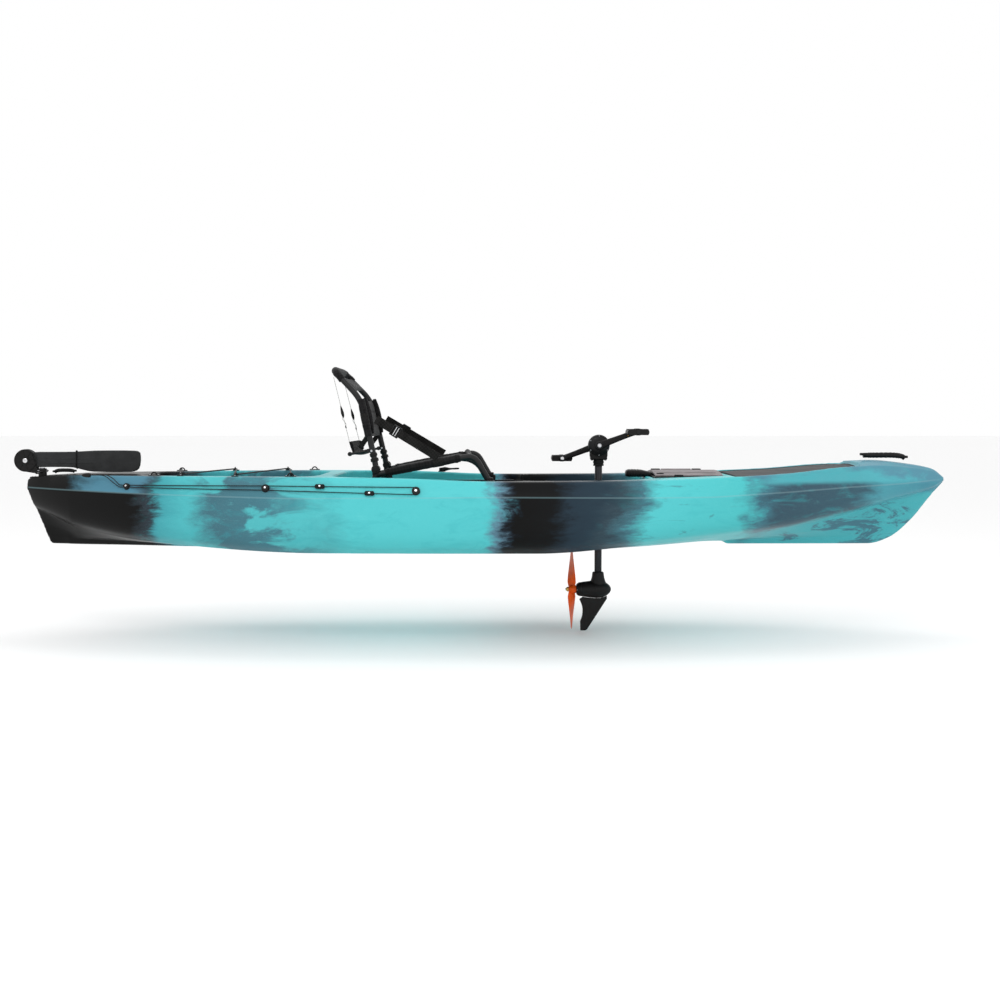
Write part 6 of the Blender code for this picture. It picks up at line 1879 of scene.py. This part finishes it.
def make_bungee():
    """Elastic cord laced from side to side over the rear well, through its hooks."""
    corners = bungee_corners()
    full = laced(corners, 3 * BUNGEE_R)
    cord = curve_cord("shock_cord", full, BUNGEE_R, CORD)
    piece(cord, "hull", "cord", "rear_bungee")
    hooks = []
    for i, corner in enumerate(corners):
        side = 1 if corner.y > 0 else -1
        foot = deck_height(corner.x) + 0.0002
        if 0 < i < 5:
            y = corner.y + side * 0.004
            bend = ((0.018, 0.002), (0.01, 0.009), (-0.002, 0.0145), (-0.012, 0.01), (-0.013, 0.004))
            hook = curved([(corner.x, y + side * out, foot + up) for out, up in bend], 8)
            hooks.append(tube("hook", hook, 0.0022, BLACK_PLASTIC, 14))
            low, high = sorted((y + side * 0.01, y + side * 0.026))
            base = block("hook_base", (corner.x - 0.013, low, foot),
                         (corner.x + 0.013, high, foot + 0.004), BLACK_PLASTIC)
            hooks.append(rounded(base, 0.0016, 3))
            hooks += bolt(corner.x, y + side * 0.02, foot + 0.0038, "Z", 0.0032, 0.0018)
        else:
            way = full[1] - full[0] if i == 0 else full[-2] - full[-1]
            hooks.append(turned("cord_end", disc_profile(0.0052, -0.008, 0.008, 0.0018),
                                way.normalized(), corner, BLACK_PLASTIC, 24))
    rail = join("bungee_hooks", hooks)
    piece(rail, "hull", "black_plastic")


def make_console():
    """Console body with its open bin, ribbed nose towards the drive and hinge lugs."""
    x0, x1, z, half = CONSOLE_SEAT
    inset = 0.003
    body = block("console_base", (x0 + inset, -half + inset, z + 0.0003), (x1 - inset, half - inset, 0.298),
                 BLACK_PLASTIC)
    bin_shape = block("bin", (0.704, -0.15, 0.165), (0.896, 0.15, 0.29), BLACK_PLASTIC)
    fuse(body, bin_shape)
    cut(body, block("hollow", (0.707, -0.147, 0.168), (0.893, 0.147, 0.35), None))
    parts = [rounded(body, 0.003, 4)]
    nose = []
    for x, half_y, low, high in ((0.564, 0.012, 0.2985, 0.306), (0.565, 0.02, 0.2945, 0.312),
                                 (0.568, 0.028, 0.2915, 0.3165), (0.574, 0.034, 0.29, 0.3195),
                                 (0.584, 0.0375, 0.2895, 0.3205), (0.6, 0.0385, 0.2895, 0.3205),
                                 (0.63, 0.04, 0.2895, 0.319), (0.67, 0.042, 0.2895, 0.31)):
        nose.append([(x, a, 0.5 * (low + high) + b) for a, b in egg(half_y, 0.5 * (high - low), 32, 0.6)])
    parts.append(loft("nose", nose, BLACK_PLASTIC, smooth=50))
    for x in (0.58, 0.592, 0.604, 0.616):
        rib = []
        for c in (-1, -0.5, 0, 0.5, 1):
            outline = egg(0.04 - abs(c) * 0.0016, 0.0162 - abs(c) * 0.0012, 32, 0.6)
            rib.append([(x + c * 0.0022, a, 0.305 + b) for a, b in outline])
        parts.append(loft("nose_rib", rib, BLACK_PLASTIC, smooth=50))
    for a, b in ((0.69, 0.728), (0.862, 0.9)):
        lug = block("lug", (a, 0.18, 0.292), (b, 0.1965, 0.3165), BLACK_PLASTIC)
        parts.append(rounded(lug, 0.0024, 3))
    piece(join("console_tray", parts), "hull", "black_plastic", "console_body")


def make_console_lid():
    """Grey domed lid with a rolled rim, a thumb notch and its hinge barrel."""
    half, thick, steps = 0.178, 0.004, 40
    low, dome = 0.2995, 0.0145
    ys = [-half + 2 * half * k / steps for k in range(steps + 1)]

    def ring(x, drop):
        top = [(x, y, low + (dome - drop) * (1 - (y / half) ** 2) + thick - drop) for y in ys]
        return top + [(x, y, z - thick + drop * 0.2) for x, y, z in reversed(top)]

    rows = [(0.668, 0.0022), (0.6686, 0.0012), (0.67, 0.0005), (0.675, 0.0)]
    rows += [(0.675 + 0.255 * k / 24, 0.0) for k in range(1, 25)]
    rows += [(0.935, 0.0005), (0.9364, 0.0012), (0.937, 0.0022)]
    parts = [loft("lid_skin", [ring(x, drop) for x, drop in rows], GREY_PLASTIC, smooth=50)]
    for y in (-0.12, 0.12):
        height = low + dome * (1 - (y / half) ** 2) + thick + 0.0002
        bead = [(0.69 + 0.225 * k / 20, y, height) for k in range(21)]
        parts.append(tube("bead", bead, 0.0022, GREY_PLASTIC, 14, 0.6))
    latch = block("latch", (0.742, -0.1815, 0.2945), (0.778, -0.166, 0.3055), BLACK_PLASTIC)
    notch = block("notch", (0.676, -0.152, 0.3068), (0.704, -0.12, 0.3114), BLACK_PLASTIC)
    parts += [rounded(latch, 0.003, 4), rounded(notch, 0.0022, 3)]
    barrel = turned("barrel", [(0.0034, 0.732), (0.0062, 0.732), (0.0068, 0.7326), (0.0068, 0.8574),
                               (0.0062, 0.858), (0.0034, 0.858)], "X", (0, 0.1885, 0.3095), GREY_PLASTIC, 40)
    web = rounded(block("web", (0.735, 0.17, 0.3015), (0.855, 0.186, 0.3055), GREY_PLASTIC), 0.0015, 3)
    piece(join("lid_cover", [*parts, barrel, web]), "lid", "grey_plastic", "console_lid")


make_bow_cover()
make_handle("bow_handle", 1.535, 0.3775, 1.704, 0.3665, 0.378, 0.011)
make_handle("stern_handle", -1.765, 0.3085, -1.685, 0.311, 0.3165, 0.0075)
make_deck_eyes()
make_bungee()
make_console()
make_console_lid()
dress(BLACK_PLASTIC, "trunk_flange", "drain_plug")
dress(ALLOY, "seat_rail_port", "seat_rail_starboard")
dress(STEEL, "console_hinge_pin")
